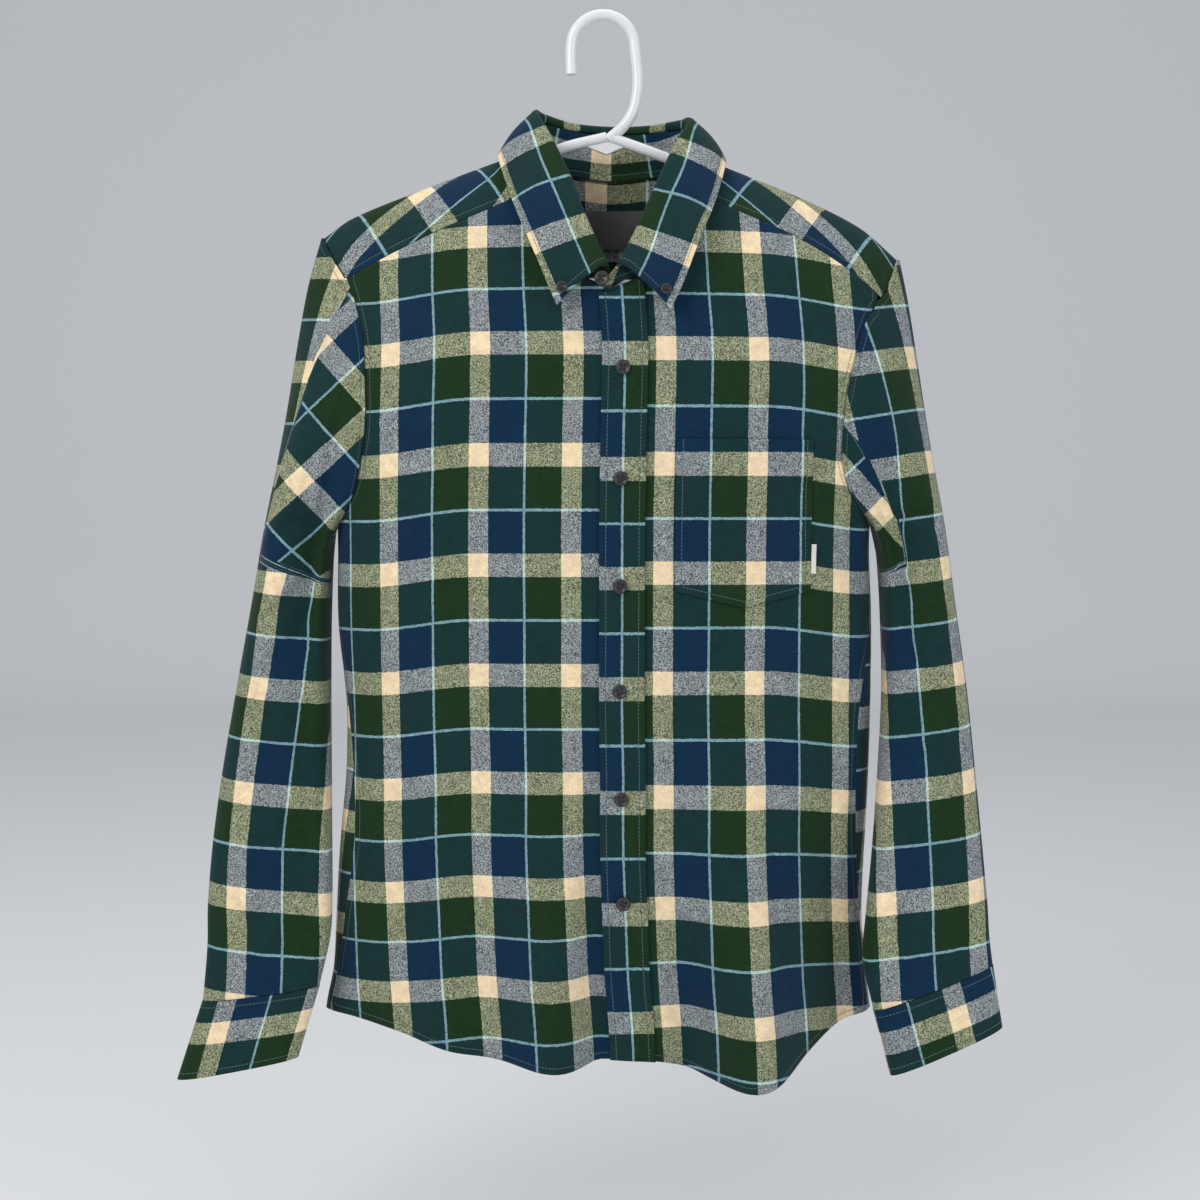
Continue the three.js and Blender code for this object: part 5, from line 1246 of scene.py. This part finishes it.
# the hanger of white plastic tube
hanger = {
    "tube": 4.4,
    "hook radius": 25,
    "hook tip": -42,
    "neck": [(25, -66), (18, -80), (4, -93)],
    "right arm": [(-70, 12.2), (-100, 8.8), (-140, 7.8), (-172, 7.8), (-196, 8.2)],
    "left arm": [(206, 9.4), (178, 8), (145, 7.8), (108, 8.8), (80, 11.5)],
    "right end": [(-207, -174), (-208, -186), (-198, -196), (-150, -199)],
    "left end": [(150, -211), (206, -213), (218, -201), (218, -188)],
    "web": [(-17, -97), (0, -88), (21, -97), (3, -105)],
    "web depth": 4,
}
hangerMaterial = newMaterial("hanger", (0.80, 0.81, 0.82), 0.22, coat_weight=0.4)[0]


def makeTube(name, path, closed):
    tube = bpy.data.curves.new(name, "CURVE")
    tube.dimensions = "3D"
    tube.bevel_depth = hanger["tube"] * mm
    tube.bevel_resolution = 5
    tube.resolution_u = 10
    tube.use_fill_caps = True
    spline = tube.splines.new("BEZIER")
    spline.bezier_points.add(len(path) - 1)
    for point, (x, z) in zip(spline.bezier_points, path):
        point.co = (x * mm, 0, z * mm)
        point.handle_left_type = point.handle_right_type = "AUTO"
    spline.use_cyclic_u = closed
    piece = bpy.data.objects.new(name, tube)
    bpy.context.scene.collection.objects.link(piece)
    tube.materials.append(hangerMaterial)
    return piece


def makeHanger():
    radius = hanger["hook radius"]
    crown = hanger["tube"] - radius
    arc = [(radius * math.cos(a), crown + radius * math.sin(a)) for a in np.linspace(math.pi, 0, 9)]
    hook = makeTube("hangerHook", [(-radius, hanger["hook tip"])] + arc + hanger["neck"], False)
    under = {side: [(x, float(ridgeZ(x)) - drop) for x, drop in hanger[side]] for side in ("right arm", "left arm")}
    loop = [(3, -91), (-36, -101)] + under["right arm"] + hanger["right end"] + [(0, -206)]
    loop += hanger["left end"] + under["left arm"] + [(50, -107), (5, -91)]
    arms = makeTube("hangerArms", loop, False)
    mesh = bpy.data.meshes.new("hangerWeb")
    bm = bmesh.new()
    depth = hanger["web depth"] / 2
    outline = bm.faces.new([bm.verts.new((x * mm, -depth * mm, z * mm)) for x, z in hanger["web"]])
    raised = bmesh.ops.extrude_face_region(bm, geom=[outline])["geom"]
    bmesh.ops.translate(bm, verts=[v for v in raised if isinstance(v, bmesh.types.BMVert)],
                        vec=(0, 2 * depth * mm, 0))
    bmesh.ops.recalc_face_normals(bm, faces=bm.faces)
    bm.to_mesh(mesh)
    bm.free()
    mesh.materials.append(hangerMaterial)
    web = bpy.data.objects.new("hangerWeb", mesh)
    bpy.context.scene.collection.objects.link(web)
    bevel = web.modifiers.new("rounded", "BEVEL")
    bevel.width = 0.0008
    bevel.segments = 3
    for piece in (hook, arms, web):
        settle(piece, ["hanger"])


makeHanger()
print("hanger made")

# the room: a pale floor that sweeps up behind, soft light from the left, and a fill
studio = {
    "floor": (0.86, 0.87, 0.88),
    "floor level": -1.02,
    "wall": 4.6,
    "width": 14.0,
    "sweep": 0.5,
}


def makeStage():
    mesh = bpy.data.meshes.new("floor")
    bm = bmesh.new()
    sweep, wall, level = studio["sweep"], studio["wall"], studio["floor level"]
    profile = [(-6.0, level), (wall - sweep, level)]
    profile += [(wall - sweep + sweep * math.sin(a), level + sweep - sweep * math.cos(a))
                for a in np.linspace(0, math.pi / 2, 17)[1:]]
    profile.append((wall, 3.0))
    lines = []
    for y, z in profile:
        lines.append([bm.verts.new((x, y, z)) for x in (-studio["width"] / 2, studio["width"] / 2)])
    for a, b in zip(lines, lines[1:]):
        bm.faces.new((a[0], a[1], b[1], b[0])).smooth = True
    bm.to_mesh(mesh)
    bm.free()
    floor = bpy.data.objects.new("floor", mesh)
    bpy.context.scene.collection.objects.link(floor)
    mesh.materials.append(newMaterial("floor", studio["floor"], 0.9)[0])


def addLight(name, place, aim, size, power, color):
    light = bpy.data.lights.new(name, "AREA")
    light.shape = "RECTANGLE"
    light.size, light.size_y = size
    light.energy = power
    light.color = color
    lamp = bpy.data.objects.new(name, light)
    lamp.location = place
    lamp.rotation_euler = (Vector(aim) - Vector(place)).to_track_quat("-Z", "Y").to_euler()
    bpy.context.scene.collection.objects.link(lamp)


makeStage()
addLight("keyLight", (-1.5, -1.9, 0.9), (0, 0, -0.4), (1.4, 1.4), 30, (1.0, 0.98, 0.95))
addLight("fillLight", (1.9, -1.7, -0.1), (0, 0, -0.45), (1.8, 1.8), 13, (0.94, 0.97, 1.0))
addLight("topLight", (0.0, 0.1, 1.5), (0, 0.3, -0.5), (2.4, 1.6), 14, (1, 1, 1))
world = bpy.data.worlds.new("studio")
world.use_nodes = True
world.node_tree.nodes["Background"].inputs["Color"].default_value = (0.93, 0.95, 1.0, 1)
world.node_tree.nodes["Background"].inputs["Strength"].default_value = 0.5
bpy.context.scene.world = world
bpy.context.scene.view_settings.view_transform = "Standard"

# the view of the photo: pitched down three degrees
view = bpy.data.cameras.new("camera")
view.lens = 52.5
view.sensor_width = 36
camera = bpy.data.objects.new("camera", view)
camera.location = (-0.00236, -1.4, -0.3836)
camera.rotation_euler = (math.radians(87), 0, 0)
bpy.context.scene.collection.objects.link(camera)
bpy.context.scene.camera = camera
print("camera and lights ready")
